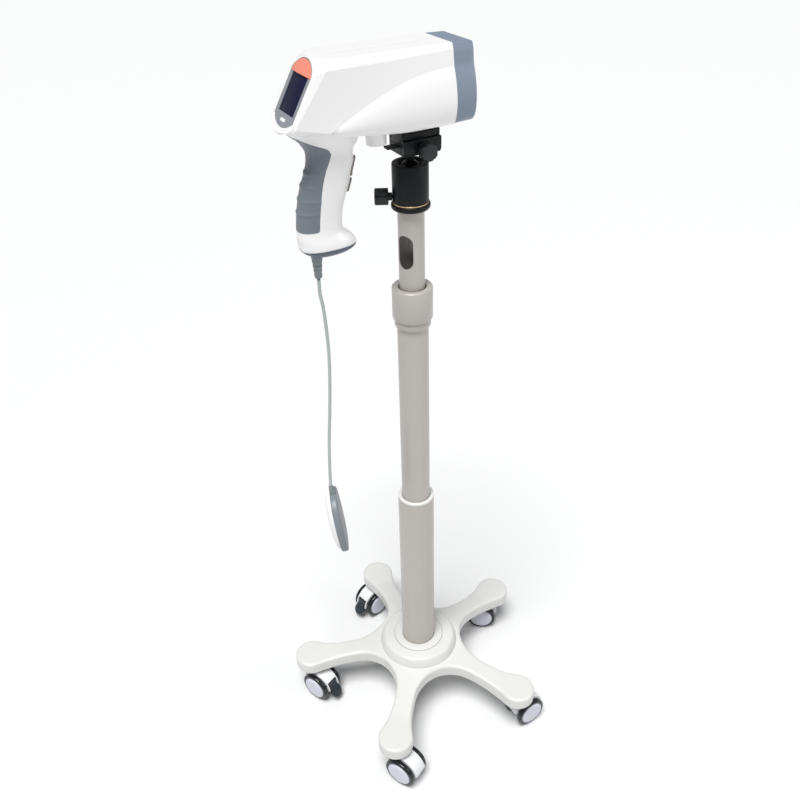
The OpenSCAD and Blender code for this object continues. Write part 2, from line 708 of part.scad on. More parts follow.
function arch_radius(w, rise) = (w * w + rise * rise) / (2 * rise);
function arch_drop(y, w, rise) = let (r = arch_radius(w, rise)) r - sqrt(r * r - y * y);
function face_point(i) = let (top = bezel_top + face_rim, low = bezel_top - bezel_len - face_rim,
    y = face_half * [0, 0.4, 0.8, 0.95, 1, 1, 1, 0.95, 0.88, 0.78, 0.66, 0.52, 0.26, 0][i],
    s = i < 5 ? top - arch_drop(y, face_half, arch_top)
        : low + arch_drop(y, face_half, arch_low) + (i == 5 ? arch_low : 0))
    [y, face_lift + s * cos(face_lean)];
function sole_at(t) = sole_low + sole_rise * pow(max(0, (t - lift_share) / (1 - lift_share)), lift_power);
function crease_at(t, lift) = max(head_h * crease_low_share,
    (head_h * (crease_share - pow(max(0, t), crease_power)) - lift) / (1 - lift / head_h));
function side_point(t, i) = let (lift = sole_at(t), crease = crease_at(t, lift),
    k = crease / crease_share / head_h, shoulder = top_half * shoulder_share[0],
    flat = shoulder + lerp(side_flare, -side_tuck, t) * (shoulder_share[1] - crease / head_h),
    sole = lerp(sole_half, sole_half - side_tuck, t),
    b = bez([[flat, crease], [flat + full_half * belly_share[0] * k, crease * belly_share[1]],
        [lerp(flat, full_half * belly_share[2], k), head_h * belly_share[3] * k], [sole, 0]],
        max(0, i - 5) / 6),
    p = i < 4 ? [top_half * [0, 0.4, 0.8, 1][i], head_h] : i == 4 ? [shoulder, head_h * shoulder_share[1]]
        : i < 12 ? b : [sole * (13 - i) / 2, 0])
    [p[0], lift + p[1] * (1 - lift / head_h)];
function rear_x(z) = -rear_top - (head_h - z) * tan(face_lean);
function head_ring(t, w, inset) = let (
    half = [for (i = [0:13]) lerp(side_point(t, i), face_point(i), w)],
    mid = head_h / 2,
    thin = [for (p = half) [p[0] * (1 - inset / top_half), mid + (p[1] - mid) * (1 - inset / mid)]],
    all = concat(thin, [for (i = [12:-1:1]) [-thin[i][0], thin[i][1]]]))
    [for (p = all) [lerp(front_x, rear_x(p[1]), t), p[0], head_z + p[1]]];

// Solid of the head between its front edge and the screen face
module head_body(inset, tail, nose = 0) {
    leads = [for (t = lead_shares) head_ring(t == 0 ? -nose / head_len : t, 0, inset)];
    turns = [for (a = tail) head_ring(1 - face_round * (1 - sin(a)) / head_len, 1 - cos(a), inset)];
    loft(concat(leads, turns));
}

// Handle: height below the housing, middle and half depth as shares of its named sizes, half width
handle_shares = [[-0.993, 0.39, 0.29, 0.5], [-0.974, 0.39, 0.406, 0.78], [-0.94, 0.376, 0.5625, 1.05],
    [-0.9, 0.407, 0.625, 1.17], [-0.841, 0.463, 0.6, 1.15], [-0.801, 0.561, 0.547, 1.08],
    [-0.768, 0.629, 0.5, 1.02], [-0.702, 0.641, 0.484, 0.98], [-0.589, 0.59, 0.484, 0.98],
    [-0.464, 0.476, 0.5, 1], [-0.344, 0.332, 0.508, 1], [-0.265, 0.244, 0.484, 1],
    [-0.166, 0.127, 0.484, 1], [-0.073, 0.095, 0.492, 1.03], [-0.02, 0, 0.5625, 1.08],
    [0.079, -0.024, 0.625, 1.16], [0.13, -0.03, 0.66, 1.2], [0.19, -0.04, 0.7, 1.25]];
handle_top = len(handle_shares) - 1;
handle_sweep = 41;
handle_sides = 24;
handle_square_share = 0.8;
grip_row = 6;
cap_rows = [0, 4];
grip_shares = [[1.04, 0.2], [1.02, 0.013], [0.55, -0.003], [0.373, -0.027], [0.28, -0.058], [0.285, -0.083],
    [0.38, -0.155], [0.48, -0.215], [0.62, -0.339], [0.71, -0.467], [0.785, -0.6], [0.81, -0.666],
    [0.84, -0.715], [0.9, -0.722], [1.6, -0.697]];
cap_share = 0.9;
cap_z = head_z - handle_len * cap_share;
core = grip_t + shell;

function handle_ring(h, inset) = [for (i = [0:handle_sides - 1]) let (a = 360 * i / handle_sides)
    [-handle_back - handle_sweep * h[1] + (handle_d * h[2] - inset) * rim(cos(a), handle_square_share),
    (handle_w / 2 * h[3] - inset) * rim(sin(a), handle_square_share), head_z + handle_len * h[0]]];
// Solid of the handle between two rows of its table, drawn in by an inset
module handle_body(inset, first = 2, last = handle_top)
    loft([for (i = [first:last]) handle_ring(handle_shares[i], inset)]);

// Everything on the handle behind the edge of the rubber grip
module grip_side(grow) translate([0, handle_d, head_z]) rotate([90, 0, 0]) linear_extrude(2 * handle_d)
    polygon(concat([for (g = grip_shares) [-handle_back - handle_sweep * g[0] + grow, handle_len * g[1]]],
        [for (i = [len(grip_shares) - 1, 0]) [-2 * rear_top, handle_len * grip_shares[i][1]]]));

// Frame on the screen face: X up the face, Z out of it
module on_face(s = 0) translate([-rear_top - face_len / 2 * sin(face_lean), 0,
    head_z + head_h - face_len / 2 * cos(face_lean)]) rotate([0, face_lean - 90, 0])
    translate([s, 0, 0]) children();

// Outline of the screen bezel: a rounded bar with bowed ends
module bezel_shape(inset) {
    top_arc = arch_radius(bezel_w / 2, arch_top) - inset;
    low_arc = arch_radius(bezel_w / 2, arch_low) - inset;
    intersection() {
        square([bezel_len - 2 * inset, bezel_w - 2 * inset], center = true);
        translate([bezel_len / 2 - inset - top_arc, 0]) circle(top_arc, $fn = 128);
        translate([low_arc + inset - bezel_len / 2, 0]) circle(low_arc, $fn = 128);
    }
}

bezel_t = 3;
bezel_sink = 0.4;
ledge = 5;
screen_t = 3;
screen_sink = 1;
screen_shift = 2;
button_l = 14;
button_w = 4.5;
button_drop = 8;
button_stand = 0.8;
button_s = screen_shift - screen_len / 2 - button_drop;
press = 1.5;
cap_len = 18.6;
cap_dome = 4;
dome_share = 0.8;
cap_sink = 1;
stub_r = 13.5;
stub_x = -49;
stub_h = 15.5;
window_z = 54;
key_top_shares = [0.15, 0.335];
key_len_shares = [0.165, 0.11];
key_root = 4;
key_edge = 2;
key_rows = [8, 13];

// Outline of a key, driven through the front of the handle
module key_shape(k, grow)
    translate([-handle_back, 0, head_z - handle_len * (key_top_shares[k] + key_len_shares[k] / 2)])
    rotate([0, 90, 0]) linear_extrude(handle_d)
        card(handle_len * key_len_shares[k] + 2 * grow, key_w + 2 * grow, key_edge + grow);

// Both mouldings in one: head, handle with the grip's recess, stub, and the rooms inside
module housing() difference() {
    union() {
        head_body(0, tail_angles);
        difference() {
            handle_body(0);
            difference() {
                grip_side(0);
                handle_body(grip_t, grip_row);
            }
        }
        translate([stub_x, 0, head_z - stub_h])
            cylinder(h = stub_h + sole_low + core, r = stub_r);
    }
    head_body(shell, [0], over);
    intersection() {
        handle_body(core);
        translate([-2 * rear_top, -full_half, cap_z]) cube([2 * rear_top, 2 * full_half, handle_len]);
    }
    translate([-2 * rear_top, -full_half, cap_z - handle_len])
        cube([2 * rear_top, 2 * full_half, handle_len]);
    on_face() {
        translate([0, 0, -bezel_t - bezel_sink]) linear_extrude(handle_d) bezel_shape(-seat);
        translate([0, 0, -2 * face_round]) linear_extrude(handle_d) bezel_shape(ledge);
    }
    for (k = [0, 1]) key_shape(k, gap);
}

// Everything on one side of the middle plane
module half_space(side) translate([-2 * rear_top, side < 0 ? -2 * full_half : 0, head_z - 2 * handle_len])
    cube([4 * rear_top, 2 * full_half, 4 * handle_len]);

module housing_left() color(white) intersection() {
    housing();
    half_space(1);
}

module housing_right() color(white) intersection() {
    housing();
    half_space(-1);
}

// Grey ring ahead of the housing, with a panel set back inside it
ring_inset = 0.8;
ring_draft = 2;
ring_wall = 3;
panel_back = 17;
panel_t = 3;
spigot = 4;
camera_r = 15;
camera_len = 96;
lens_r = 12;
lens_t = 3;
lamp_t = 1.6;
lamp_in = 17;
bead_r = 2.5;
bead_stand = 1.5;

function front_outline(x, inset) = [for (p = head_ring(0, 0, inset)) [x, p[1], p[2]]];
module front_body(x0, x1, i0, i1) loft([front_outline(x1, i1), front_outline(x0, i0)]);
ring_front = front_x + ring_len;
panel_x = ring_front - panel_back;

// Frame on the lens axis, Z forward
module on_lens_axis(x) translate([x, 0, head_z + window_z]) rotate([0, 90, 0]) children();

// Ring with its panel, and the spigot that seats in the mouldings
module front_ring() color(slate) difference() {
    union() {
        front_body(front_x, ring_front, ring_inset, ring_draft);
        front_body(front_x - spigot, front_x + over, shell + seat, shell + seat);
    }
    front_body(panel_x, ring_front + over, ring_wall + ring_draft, ring_wall + ring_draft);
    front_body(front_x - spigot - over, panel_x - panel_t, 2 * shell, ring_wall + ring_draft);
    on_lens_axis(panel_x - panel_t - over) cylinder(h = panel_t + 2 * over, r = camera_r + seat);
}

// Camera block behind the lens barrel
module camera() color(black) on_lens_axis(panel_x - camera_len) difference() {
    union() {
        cylinder(h = camera_len + lamp_t + lens_t, r = camera_r);
        cylinder(h = camera_len - panel_t, r = camera_r + lens_t);
        translate([-camera_r - lens_t, -camera_r - lens_t, 0])
            cube([2 * (camera_r + lens_t), 2 * (camera_r + lens_t), camera_len / 2]);
    }
    translate([0, 0, camera_len]) cylinder(h = lamp_t + lens_t + over, r = lens_r + seat);
}

// Domed front lens
module lens_glass() color("#30404e") on_lens_axis(panel_x) rotate_extrude() polygon(concat(
    [[0, 0], [lens_r, 0]], [for (k = [4:-1:0]) let (y = lens_r * k / 4)
        [y, lens_t + lamp_t / 2 - arch_drop(y, lens_r, lens_dome)]]));
lens_dome = 1.5;

// Round board with twelve lamps
module lamp_ring() color("#e9e6d8") on_lens_axis(panel_x) {
    difference() {
        cylinder(h = lamp_t, r = lamp_r);
        translate([0, 0, -over]) cylinder(h = lamp_t + 2 * over, r = lamp_in);
    }
    for (a = [0:30:330]) rotate(a) translate([(lamp_r + lamp_in) / 2, 0, lamp_t - seat])
        cylinder(h = bead_stand, r = bead_r, $fn = 24);
}

// Screen end
board_w = 58;
board_len = 60;
board_t = 1.6;
board_post = 6;
post_side = 4;
screen_z = -bezel_sink - screen_sink;

// Circuit board on four posts behind the screen
module main_board() color("#2d6a45") on_face(screen_shift) translate([0, 0, screen_z - screen_t]) {
    translate([0, 0, -board_post - board_t]) linear_extrude(board_t) card(board_len, board_w, post_side);
    for (sx = [-1, 1]) for (sy = [-1, 1])
        translate([sx * (screen_len - post_side) / 2, sy * (screen_w - post_side) / 2, -board_post - over])
            linear_extrude(board_post + over) square(post_side, center = true);
}

// Bezel with its openings for the screen, the cap and the button
module screen_bezel() color(grey) on_face() translate([0, 0, -bezel_t - bezel_sink]) difference() {
    linear_extrude(bezel_t) bezel_shape(0);
    translate([screen_shift, 0, -over]) linear_extrude(bezel_t + 2 * over)
        square([screen_len + 2 * seat, screen_w + 2 * seat], center = true);
    translate([button_s, 0, -over]) linear_extrude(bezel_t + 2 * over)
        square([button_w + 2 * gap, button_l + 2 * gap], center = true);
    translate([0, 0, bezel_t - cap_sink]) linear_extrude(bezel_t) cap_shape(-seat);
}

// Screen
module screen() color("#1b1b33") on_face(screen_shift) translate([0, 0, screen_z - screen_t])
    linear_extrude(screen_t) square([screen_len, screen_w], center = true);

// Outline of the cap at the bezel's upper end
module cap_shape(inset) intersection() {
    bezel_shape(face_rim + inset);
    translate([bezel_len / 2 - face_rim - cap_len + inset, -bezel_w]) square([bezel_len, 2 * bezel_w]);
}

// Domed cap above the screen
module top_cap() color("#f08c78") on_face() intersection() {
    dome_r = arch_radius(bezel_w / 2, cap_dome);
    translate([0, 0, -bezel_sink - cap_sink]) linear_extrude(cap_sink + cap_dome) cap_shape(0);
    translate([bezel_len / 2 - cap_len, 0, cap_dome * dome_share - dome_r]) sphere(r = dome_r, $fn = 128);
}

// Button below the screen
module menu_button() color(white) on_face(button_s) translate([0, 0, -bezel_sink - bezel_t - press])
    linear_extrude(bezel_t + press + button_stand) square([button_w, button_l], center = true);

// Rubber grip in the recess at the handle's rear
module grip_cover() color(grey) difference() {
    intersection() {
        handle_body(0, grip_row);
        grip_side(-seat);
    }
    handle_body(grip_t - seat, grip_row);
    head_body(-seat, [0]);
}

// Key that follows the front of the handle
module key(k) color("#8c817a") difference() {
    intersection() {
        handle_body(-key_stand, key_rows[0], key_rows[1]);
        key_shape(k, 0);
    }
    handle_body(core + key_root, key_rows[0], key_rows[1]);
}
module upper_key() key(0);
module lower_key() key(1);

// Foot of the handle, bored for the strain relief
module handle_cap() color(slate) difference() {
    intersection() {
        handle_body(0, cap_rows[0], cap_rows[1]);
        translate([-2 * rear_top, -full_half, cap_z - handle_len])
            cube([2 * rear_top, 2 * full_half, handle_len]);
    }
    translate([relief_x, 0, cap_z - handle_len]) cylinder(h = handle_len - cap_floor, r = relief_r + seat);
}
cap_floor = 4;
relief_x = -145;
relief_r = 8;
relief_tip = 5.2;
relief_seat = 8;
relief_low = head_z - handle_len - relief_len + gap;

// Tapered strain relief
module strain_relief() color("#8f9d9b") translate([relief_x, 0, relief_low]) {
    cylinder(h = relief_len, r1 = relief_tip, r2 = relief_r);
    translate([0, 0, relief_len - over]) cylinder(h = relief_seat, r = relief_r);
}

// Lead
cord_sides = 12;
cap_angles = [5, 25, 45, 68];
joint_z = relief_low - gap - cord_d / 2;
cord_points = [[-145, 920], [-142, 898], [-140, 860], [-139.5, 820], [-142, 771], [-146.5, 717],
    [-152, 660], [-155, 607], [-156, 578]];

function tangent(p, i) = let (a = p[max(0, i - 1)], b = p[min(len(p) - 1, i + 1)]) (b - a) / norm(b - a);
function curve(p, steps) = [for (i = [0:len(p) - 2]) for (k = [0:(i == len(p) - 2 ? steps : steps - 1)])
    let (d = norm(p[i + 1] - p[i]) / 3)
        bez([p[i], p[i] + d * tangent(p, i), p[i + 1] - d * tangent(p, i + 1), p[i + 1]], k / steps)];

// Round tube of a route in X and Z, running down, with a round upper end
function lead_ring(q) = [for (k = [0:cord_sides - 1]) let (a = 360 * k / cord_sides, n = [-q[2][1], q[2][0]])
    [q[0][0] + q[1] * n[0] * cos(a), -q[1] * sin(a), q[0][1] + q[1] * n[1] * cos(a)]];
module lead_tube(route) {
    r = cord_d / 2;
    head = [for (a = cap_angles) let (t = tangent(route, 0)) [route[0] - t * r * cos(a), r * sin(a), t]];
    rest = [for (i = [0:len(route) - 1]) [route[i], r, tangent(route, i)]];
    loft([for (q = concat(head, rest)) lead_ring(q)]);
}

// Short length of lead below the relief
module cord_top() color("#a9b5b0") lead_tube([[relief_x, joint_z],
    [relief_x, cord_points[0][1] + cord_d / 2 + gap]]);

// Hanging lead down to the hand switch
module cord() color("#a9b5b0") lead_tube(curve(cord_points, 4));

// Hand switch: pillow shapes grown along the thickness
switch_corner_share = 0.42;
switch_relief = 16;
switch_relief_r = 5;
base_edge = 3;
cap_inset = 4;
cap_skirt = 5;
cap_travel = 3;
pillow_sides = 32;
dome_shares = [[1, 0], [1, 0.15], [1.5, 0.45], [3, 0.75], [5.5, 0.93], [8, 1]];
relief_end_share = 1.4;
switch_top = [cord_points[8][0], cord_points[8][1]];

function pillow(w, l, x, z) = [for (i = [0:pillow_sides - 1]) let (a = 360 * i / pillow_sides)
    [x, -w * rim(cos(a), switch_corner_share), z + l * rim(sin(a), switch_corner_share)]];
module pillow_body(steps) loft([for (q = steps) pillow(switch_w / 2 - q[0], switch_len / 2 - q[0], -q[1],
    -switch_relief - switch_len / 2)]);
// Frame of the hanging hand switch
module at_switch() translate([switch_top[0], 0, switch_top[1]])
    rotate([0, -switch_lean, switch_turn]) children();

// Base with its relief, and the room in which the cap travels
module switch_base() color(grey) at_switch() difference() {
    union() {
        pillow_body([[base_edge, -switch_t / 2], [base_edge / 3, -switch_t / 2 + base_edge / 3],
            [0, -switch_t / 2 + base_edge], [0, switch_t / 2]]);
        translate([0, 0, -switch_relief - over])
            cylinder(h = switch_relief + over, r1 = switch_relief_r, r2 = cord_d / 2 * relief_end_share);
    }
    pillow_body([[cap_inset - gap, switch_t / 2 - cap_skirt - cap_travel],
        [cap_inset - gap, switch_t / 2 + over]]);
}

// Domed press cap
module switch_cap() color(white) at_switch() pillow_body(concat([[cap_inset, switch_t / 2 - cap_skirt]],
    [for (d = dome_shares) [cap_inset * d[0], switch_t / 2 + cap_stand * d[1]]]));

base_casting();
trim_ring();
swivel_pins();
column_bolt();
hood(0);  // hood_1
hood(1, braked = true);  // hood_2
hood(2, braked = true);  // hood_3
hood(3);  // hood_4
hood(4);  // hood_5
wheels(0);  // wheels_1
wheels(1);  // wheels_2
wheels(2);  // wheels_3
wheels(3);  // wheels_4
wheels(4);  // wheels_5
tyres(0);  // tyres_1
tyres(1);  // tyres_2
tyres(2);  // tyres_3
tyres(3);  // tyres_4
tyres(4);  // tyres_5
brake_pedal(1);  // brake_pedal_2
brake_pedal(2);  // brake_pedal_3
lower_tube();
guide_bush();
mid_tube();
mid_glide();
ferrule();
collet();
collar();
top_tube();
top_glide();
pan_base();
index_ring();
ball_housing();
ball_seat();
lock_knob();
ball();
clamp();
clamp_jaw();
clamp_knob();
release_plate();
housing_left();
housing_right();
front_ring();
lamp_ring();
camera();
lens_glass();
main_board();
screen_bezel();
screen();
top_cap();
menu_button();
grip_cover();
upper_key();
lower_key();
handle_cap();
strain_relief();
cord_top();
cord();
switch_base();
switch_cap();
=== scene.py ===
import math
import bpy
from mathutils import Matrix, Vector


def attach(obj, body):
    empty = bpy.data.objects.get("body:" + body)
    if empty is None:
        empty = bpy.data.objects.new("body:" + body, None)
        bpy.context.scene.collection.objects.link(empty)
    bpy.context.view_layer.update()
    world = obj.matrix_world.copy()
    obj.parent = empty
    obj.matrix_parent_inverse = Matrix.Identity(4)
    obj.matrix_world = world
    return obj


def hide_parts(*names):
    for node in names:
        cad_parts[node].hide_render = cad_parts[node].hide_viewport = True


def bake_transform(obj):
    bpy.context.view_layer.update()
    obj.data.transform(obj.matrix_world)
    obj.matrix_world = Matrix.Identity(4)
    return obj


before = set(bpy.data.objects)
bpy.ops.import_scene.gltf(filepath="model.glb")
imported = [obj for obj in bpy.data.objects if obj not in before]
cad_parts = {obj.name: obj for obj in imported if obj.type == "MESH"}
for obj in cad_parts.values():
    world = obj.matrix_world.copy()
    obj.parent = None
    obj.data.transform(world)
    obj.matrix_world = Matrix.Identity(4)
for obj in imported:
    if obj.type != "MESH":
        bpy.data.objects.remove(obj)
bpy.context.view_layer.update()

# Camera: a still camera above and to the left of the viewing head, that looks down along the
# column. Its place, turns and lens are fitted to the column, the casters and the head.
camera_heading, camera_dip, camera_roll = -25.83, 35.25, -2.28
bpy.ops.object.select_all(action="DESELECT")
bpy.ops.object.camera_add(location=(-0.5217, -0.9813, 1.4557))
camera = bpy.context.object
camera.name = "photo_camera"
camera.rotation_euler = (Matrix.Rotation(math.radians(camera_heading), 3, "Z")
    @ Matrix.Rotation(math.radians(90 - camera_dip), 3, "X")
    @ Matrix.Rotation(math.radians(camera_roll), 3, "Z")).to_euler()
camera.data.sensor_width = 36
camera.data.lens = 37.78
camera.data.shift_x = 0.0143
camera.data.shift_y = 0.0149
bpy.context.scene.camera = camera

# Lead: a limp grey jacket, 5 mm thick, that leaves the handle's boot and hangs plumb by the
# weight of the hand switch, with the slight wave that the jacket keeps from its packing.
jacket_radius = 0.0025


def mottled(name, colour, dark, rough, swing, tone, grain, gloss_follows, bump, depth):
    """A finish that changes a little in tone and gloss over the piece, with a fine relief.

    tone and grain are the scale and detail of a slow and of a fine noise, the gloss follows one of
    them, and the relief follows the grain.
    """
    mat = bpy.data.materials.new(name)
    mat.use_nodes = True
    tree = mat.node_tree
    shader = tree.nodes["Principled BSDF"]
    place = tree.nodes.new("ShaderNodeTexCoord")
    noise = {}
    for use, (scale, detail) in (("tone", tone), ("grain", grain)):
        node = tree.nodes.new("ShaderNodeTexNoise")
        node.inputs["Scale"].default_value = scale
        node.inputs["Detail"].default_value = detail
        tree.links.new(place.outputs["Object"], node.inputs["Vector"])
        noise[use] = node.outputs["Fac"]
    mix = tree.nodes.new("ShaderNodeMix")
    mix.data_type = "RGBA"
    mix.inputs["A"].default_value = (*colour, 1)
    mix.inputs["B"].default_value = (*dark, 1)
    gloss = tree.nodes.new("ShaderNodeMapRange")
    gloss.inputs["To Min"].default_value = rough - swing
    gloss.inputs["To Max"].default_value = rough + swing
    relief = tree.nodes.new("ShaderNodeBump")
    relief.inputs["Strength"].default_value = bump
    relief.inputs["Distance"].default_value = depth
    tree.links.new(noise["tone"], mix.inputs["Factor"])
    tree.links.new(mix.outputs["Result"], shader.inputs["Base Color"])
    tree.links.new(noise[gloss_follows], gloss.inputs["Value"])
    tree.links.new(gloss.outputs["Result"], shader.inputs["Roughness"])
    tree.links.new(noise["grain"], relief.inputs["Height"])
    tree.links.new(relief.outputs["Normal"], shader.inputs["Normal"])
    return mat


def jacket(name, colour, dark, rough, grain, bump):
    """Soft vinyl or rubber: matte, a fine grain, and a little uneven in tone."""
    return mottled(name, colour, dark, rough, 0.07, (40, 4), (grain, 2), "grain", bump, 0.0004)


def smooth_route(points, steps):
    """Points on one smooth curve through the given ones."""
    route = []
    for i in range(len(points) - 1):
        p = [Vector(points[max(0, min(len(points) - 1, i + j))]) for j in (-1, 0, 1, 2)]
        for k in range(steps):
            t = k / steps
            route.append(0.5 * (2 * p[1] + (p[2] - p[0]) * t
                + (2 * p[0] - 5 * p[1] + 4 * p[2] - p[3]) * t ** 2
                + (3 * p[1] - p[0] - 3 * p[2] + p[3]) * t ** 3))
    return route + [Vector(points[-1])]


lead_points = smooth_route([(-0.145, 0, 0.9425), (-0.145, 0, 0.9315), (-0.145, 0, 0.920),
    (-0.142, 0, 0.898), (-0.140, 0, 0.860), (-0.1395, 0, 0.820), (-0.142, 0, 0.771),
    (-0.1465, 0, 0.717), (-0.152, 0, 0.660), (-0.155, 0, 0.607), (-0.156, 0, 0.578)], 3)
bpy.ops.curve.primitive_nurbs_path_add()
lead = bpy.context.object
lead.name = "lead"
lead.data.splines.clear()
line = lead.data.splines.new("POLY")
line.points.add(len(lead_points) - 1)
for spot, p in zip(line.points, lead_points):
    spot.co = (*p, 1)
lead.data.dimensions = "3D"
lead.data.bevel_depth = jacket_radius
lead.data.bevel_resolution = 6
lead.data.use_fill_caps = True
bpy.ops.object.convert(target="MESH")
lead = bpy.context.object
bpy.ops.object.shade_smooth_by_angle(angle=math.radians(50))
lead.data.materials.clear()
lead.data.materials.append(jacket("lead_jacket", (0.40, 0.465, 0.45), (0.36, 0.425, 0.41), 0.42, 900, 0.12))
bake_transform(lead)
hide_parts("cord_top", "cord")

# Studio: a pale seamless paper floor. One broad soft light stands to the left and above, a weak
# one to the right, and the room gives a little light from all sides.
bpy.ops.mesh.primitive_plane_add(size=60)
floor = bpy.context.object
floor.name = "floor"
paper = bpy.data.materials.new("pale_paper")
paper.use_nodes = True
paper.node_tree.nodes["Principled BSDF"].inputs["Base Color"].default_value = (0.68, 0.68, 0.68, 1)
paper.node_tree.nodes["Principled BSDF"].inputs["Roughness"].default_value = 0.9
floor.data.materials.append(paper)
bpy.ops.object.light_add(type="SUN", location=(-0.9, -0.8, 3.2))
key = bpy.context.object
key.name = "soft_key"
key.data.energy = 3.9
key.data.angle = math.radians(28)
key.rotation_euler = (Vector((0, 0, 0)) - key.location).to_track_quat("-Z", "Y").to_euler()
bpy.ops.object.light_add(type="AREA", location=(1.9, -1.6, 1.7))
fill = bpy.context.object
fill.name = "soft_fill"
fill.data.energy = 10
fill.data.size = 0.9
fill.rotation_euler = (Vector((0, 0, 0.9)) - fill.location).to_track_quat("-Z", "Y").to_euler()
world = bpy.data.worlds.new("room")
bpy.context.scene.world = world
world.use_nodes = True
world.node_tree.nodes["Background"].inputs["Color"].default_value = (0.95, 0.97, 1.0, 1)
world.node_tree.nodes["Background"].inputs["Strength"].default_value = 0.3
bpy.context.scene.view_settings.view_transform = "Standard"

# Star base: one aluminium casting, hollow below, with five waisted legs that end in round pads
# and rise a little towards the hub. Its edges are rounded, and it is powder coated white.
leg_count, first_leg, caster_circle = 5, 14, 215
star_under, star_thick, star_round, star_wall = 0.076, 0.019, 0.005, 0.004
rise_high, rise_start, rise_run = 0.015, 0.179, 0.095
round_steps = 5


def coated(name, colour, tint, rough, peel, flake=900, metal=0.0, coat=0.0, shine=0.5):
    """Paint, anodising or a glossy moulding: fine waves in its skin and slow changes of its gloss."""
    mat = mottled(name, colour, tint, rough, 0.05, (14, 5), (flake, 3), "tone", peel, 0.0003)
    shader = mat.node_tree.nodes["Principled BSDF"]
    shader.inputs["Metallic"].default_value = metal
    shader.inputs["Specular IOR Level"].default_value = shine
    shader.inputs["Coat Weight"].default_value = coat
    shader.inputs["Coat Roughness"].default_value = 0.12
    return mat


def chosen(*pieces):
    """Selects these pieces alone and makes the first the active one."""
    bpy.ops.object.select_all(action="DESELECT")
    for piece in pieces:
        piece.select_set(True)
    bpy.context.view_layer.objects.active = pieces[0]


def facing_away(piece, heart):
    """Turns the faces of the chosen piece over if they look at its heart."""
    if sum((f.center - heart).dot(f.normal) * f.area for f in piece.data.polygons) < 0:
        bpy.ops.object.mode_set(mode="EDIT")
        bpy.ops.mesh.select_all(action="SELECT")
        bpy.ops.mesh.flip_normals()
        bpy.ops.object.mode_set(mode="OBJECT")


def pointing_out(piece):
    """Merges doubles and turns every face outwards, away from the middle of the piece."""
    chosen(piece)
    bpy.ops.object.mode_set(mode="EDIT")
    bpy.ops.mesh.select_all(action="SELECT")
    bpy.ops.mesh.remove_doubles(threshold=0.000004)
    bpy.ops.mesh.dissolve_degenerate(threshold=0.000004)
    bpy.ops.mesh.normals_make_consistent(inside=False)
    bpy.ops.object.mode_set(mode="OBJECT")
    facing_away(piece, sum((v.co for v in piece.data.vertices), Vector()) / len(piece.data.vertices))


def walled(piece, thickness):
    """Gives the chosen piece's skin a wall that lies inside it."""
    wall = piece.modifiers.new("wall", "SOLIDIFY")
    wall.thickness = thickness
    wall.offset = -1
    bpy.ops.object.modifier_apply(modifier="wall")


def finished(piece, name, material, body, slot, *nodes, angle=35):
    """Gives a piece its place, smooth shading with its sharp edges kept, its finish and its body."""
    chosen(piece)
    bpy.ops.object.transform_apply(location=True, rotation=True, scale=True)
    if angle:
        bpy.ops.object.shade_smooth_by_angle(angle=math.radians(angle))
    piece.name = name
    piece.data.materials.clear()
    piece.data.materials.append(material)
    if body:
        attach(piece, body)
    if nodes:
        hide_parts(*nodes)
    return piece


def leg_side():
    """One side of a leg in millimetres: from the web between two legs, past the waist, round half the pad."""
    waist, web, pad, fillet = 18.5, 84, 31.5, 170
    web_steps, fillet_steps, pad_steps = 14, 12, 18
    half = math.radians(180 / leg_count)
    far = (web - waist) / (1 - math.sin(half))
    arc = far * math.sin(half) - waist
    neck = caster_circle - math.sqrt((pad + fillet) ** 2 - (waist + fillet) ** 2)
    turn = math.pi / 2 - math.atan2(waist + fillet, caster_circle - neck)
    start = math.atan2(waist + fillet, neck - caster_circle)
    points = []
    for i in range(web_steps + 1):
        a = math.pi + half + (math.pi / 2 - half) * i / web_steps
        points.append((far * math.cos(half) + arc * math.cos(a), far * math.sin(half) + arc * math.sin(a)))
    for i in range(1, fillet_steps + 1):
        a = math.pi * 1.5 + turn * i / fillet_steps
        points.append((neck + fillet * math.cos(a), waist + fillet + fillet * math.sin(a)))
    for i in range(1, pad_steps + 1):
        a = start * (1 - i / pad_steps)
        points.append((caster_circle + pad * math.cos(a), pad * math.sin(a)))
    return points


side = leg_side()
leg_outline = [(x, -y) for x, y in side] + [(x, y) for x, y in side[-2:0:-1]]
bpy.ops.object.select_all(action="DESELECT")
bpy.ops.mesh.primitive_circle_add(vertices=leg_count * len(leg_outline), radius=0.2, fill_type="NGON")
star = bpy.context.object
for k in range(leg_count):
    turn = Matrix.Rotation(math.radians(first_leg + 360 / leg_count * k), 3, "Z")
    for i, (x, y) in enumerate(leg_outline):
        star.data.vertices[k * len(leg_outline) + i].co = turn @ Vector((x / 1000, y / 1000, star_under))
bpy.ops.object.mode_set(mode="EDIT")
bpy.ops.mesh.select_all(action="SELECT")
bpy.ops.mesh.extrude_region_move(TRANSFORM_OT_translate={"value": (0, 0, star_thick)})
for k in range(round_steps):
    low, high = (math.radians(90 * i / round_steps) for i in (k, k + 1))
    bpy.ops.mesh.inset(thickness=star_round * (math.cos(low) - math.cos(high)),
        depth=star_round * (math.sin(high) - math.sin(low)), use_even_offset=True)
bpy.ops.mesh.inset(thickness=0.004, depth=0)
bpy.ops.mesh.quads_convert_to_tris(quad_method="BEAUTY", ngon_method="BEAUTY")
bpy.ops.mesh.select_all(action="DESELECT")
bpy.ops.object.mode_set(mode="OBJECT")
for f in star.data.polygons:
    f.select = f.center.z < star_under + 0.00001 and abs(f.normal.z) > 0.9
bpy.ops.object.mode_set(mode="EDIT")
bpy.ops.mesh.delete(type="ONLY_FACE")
bpy.ops.object.mode_set(mode="OBJECT")
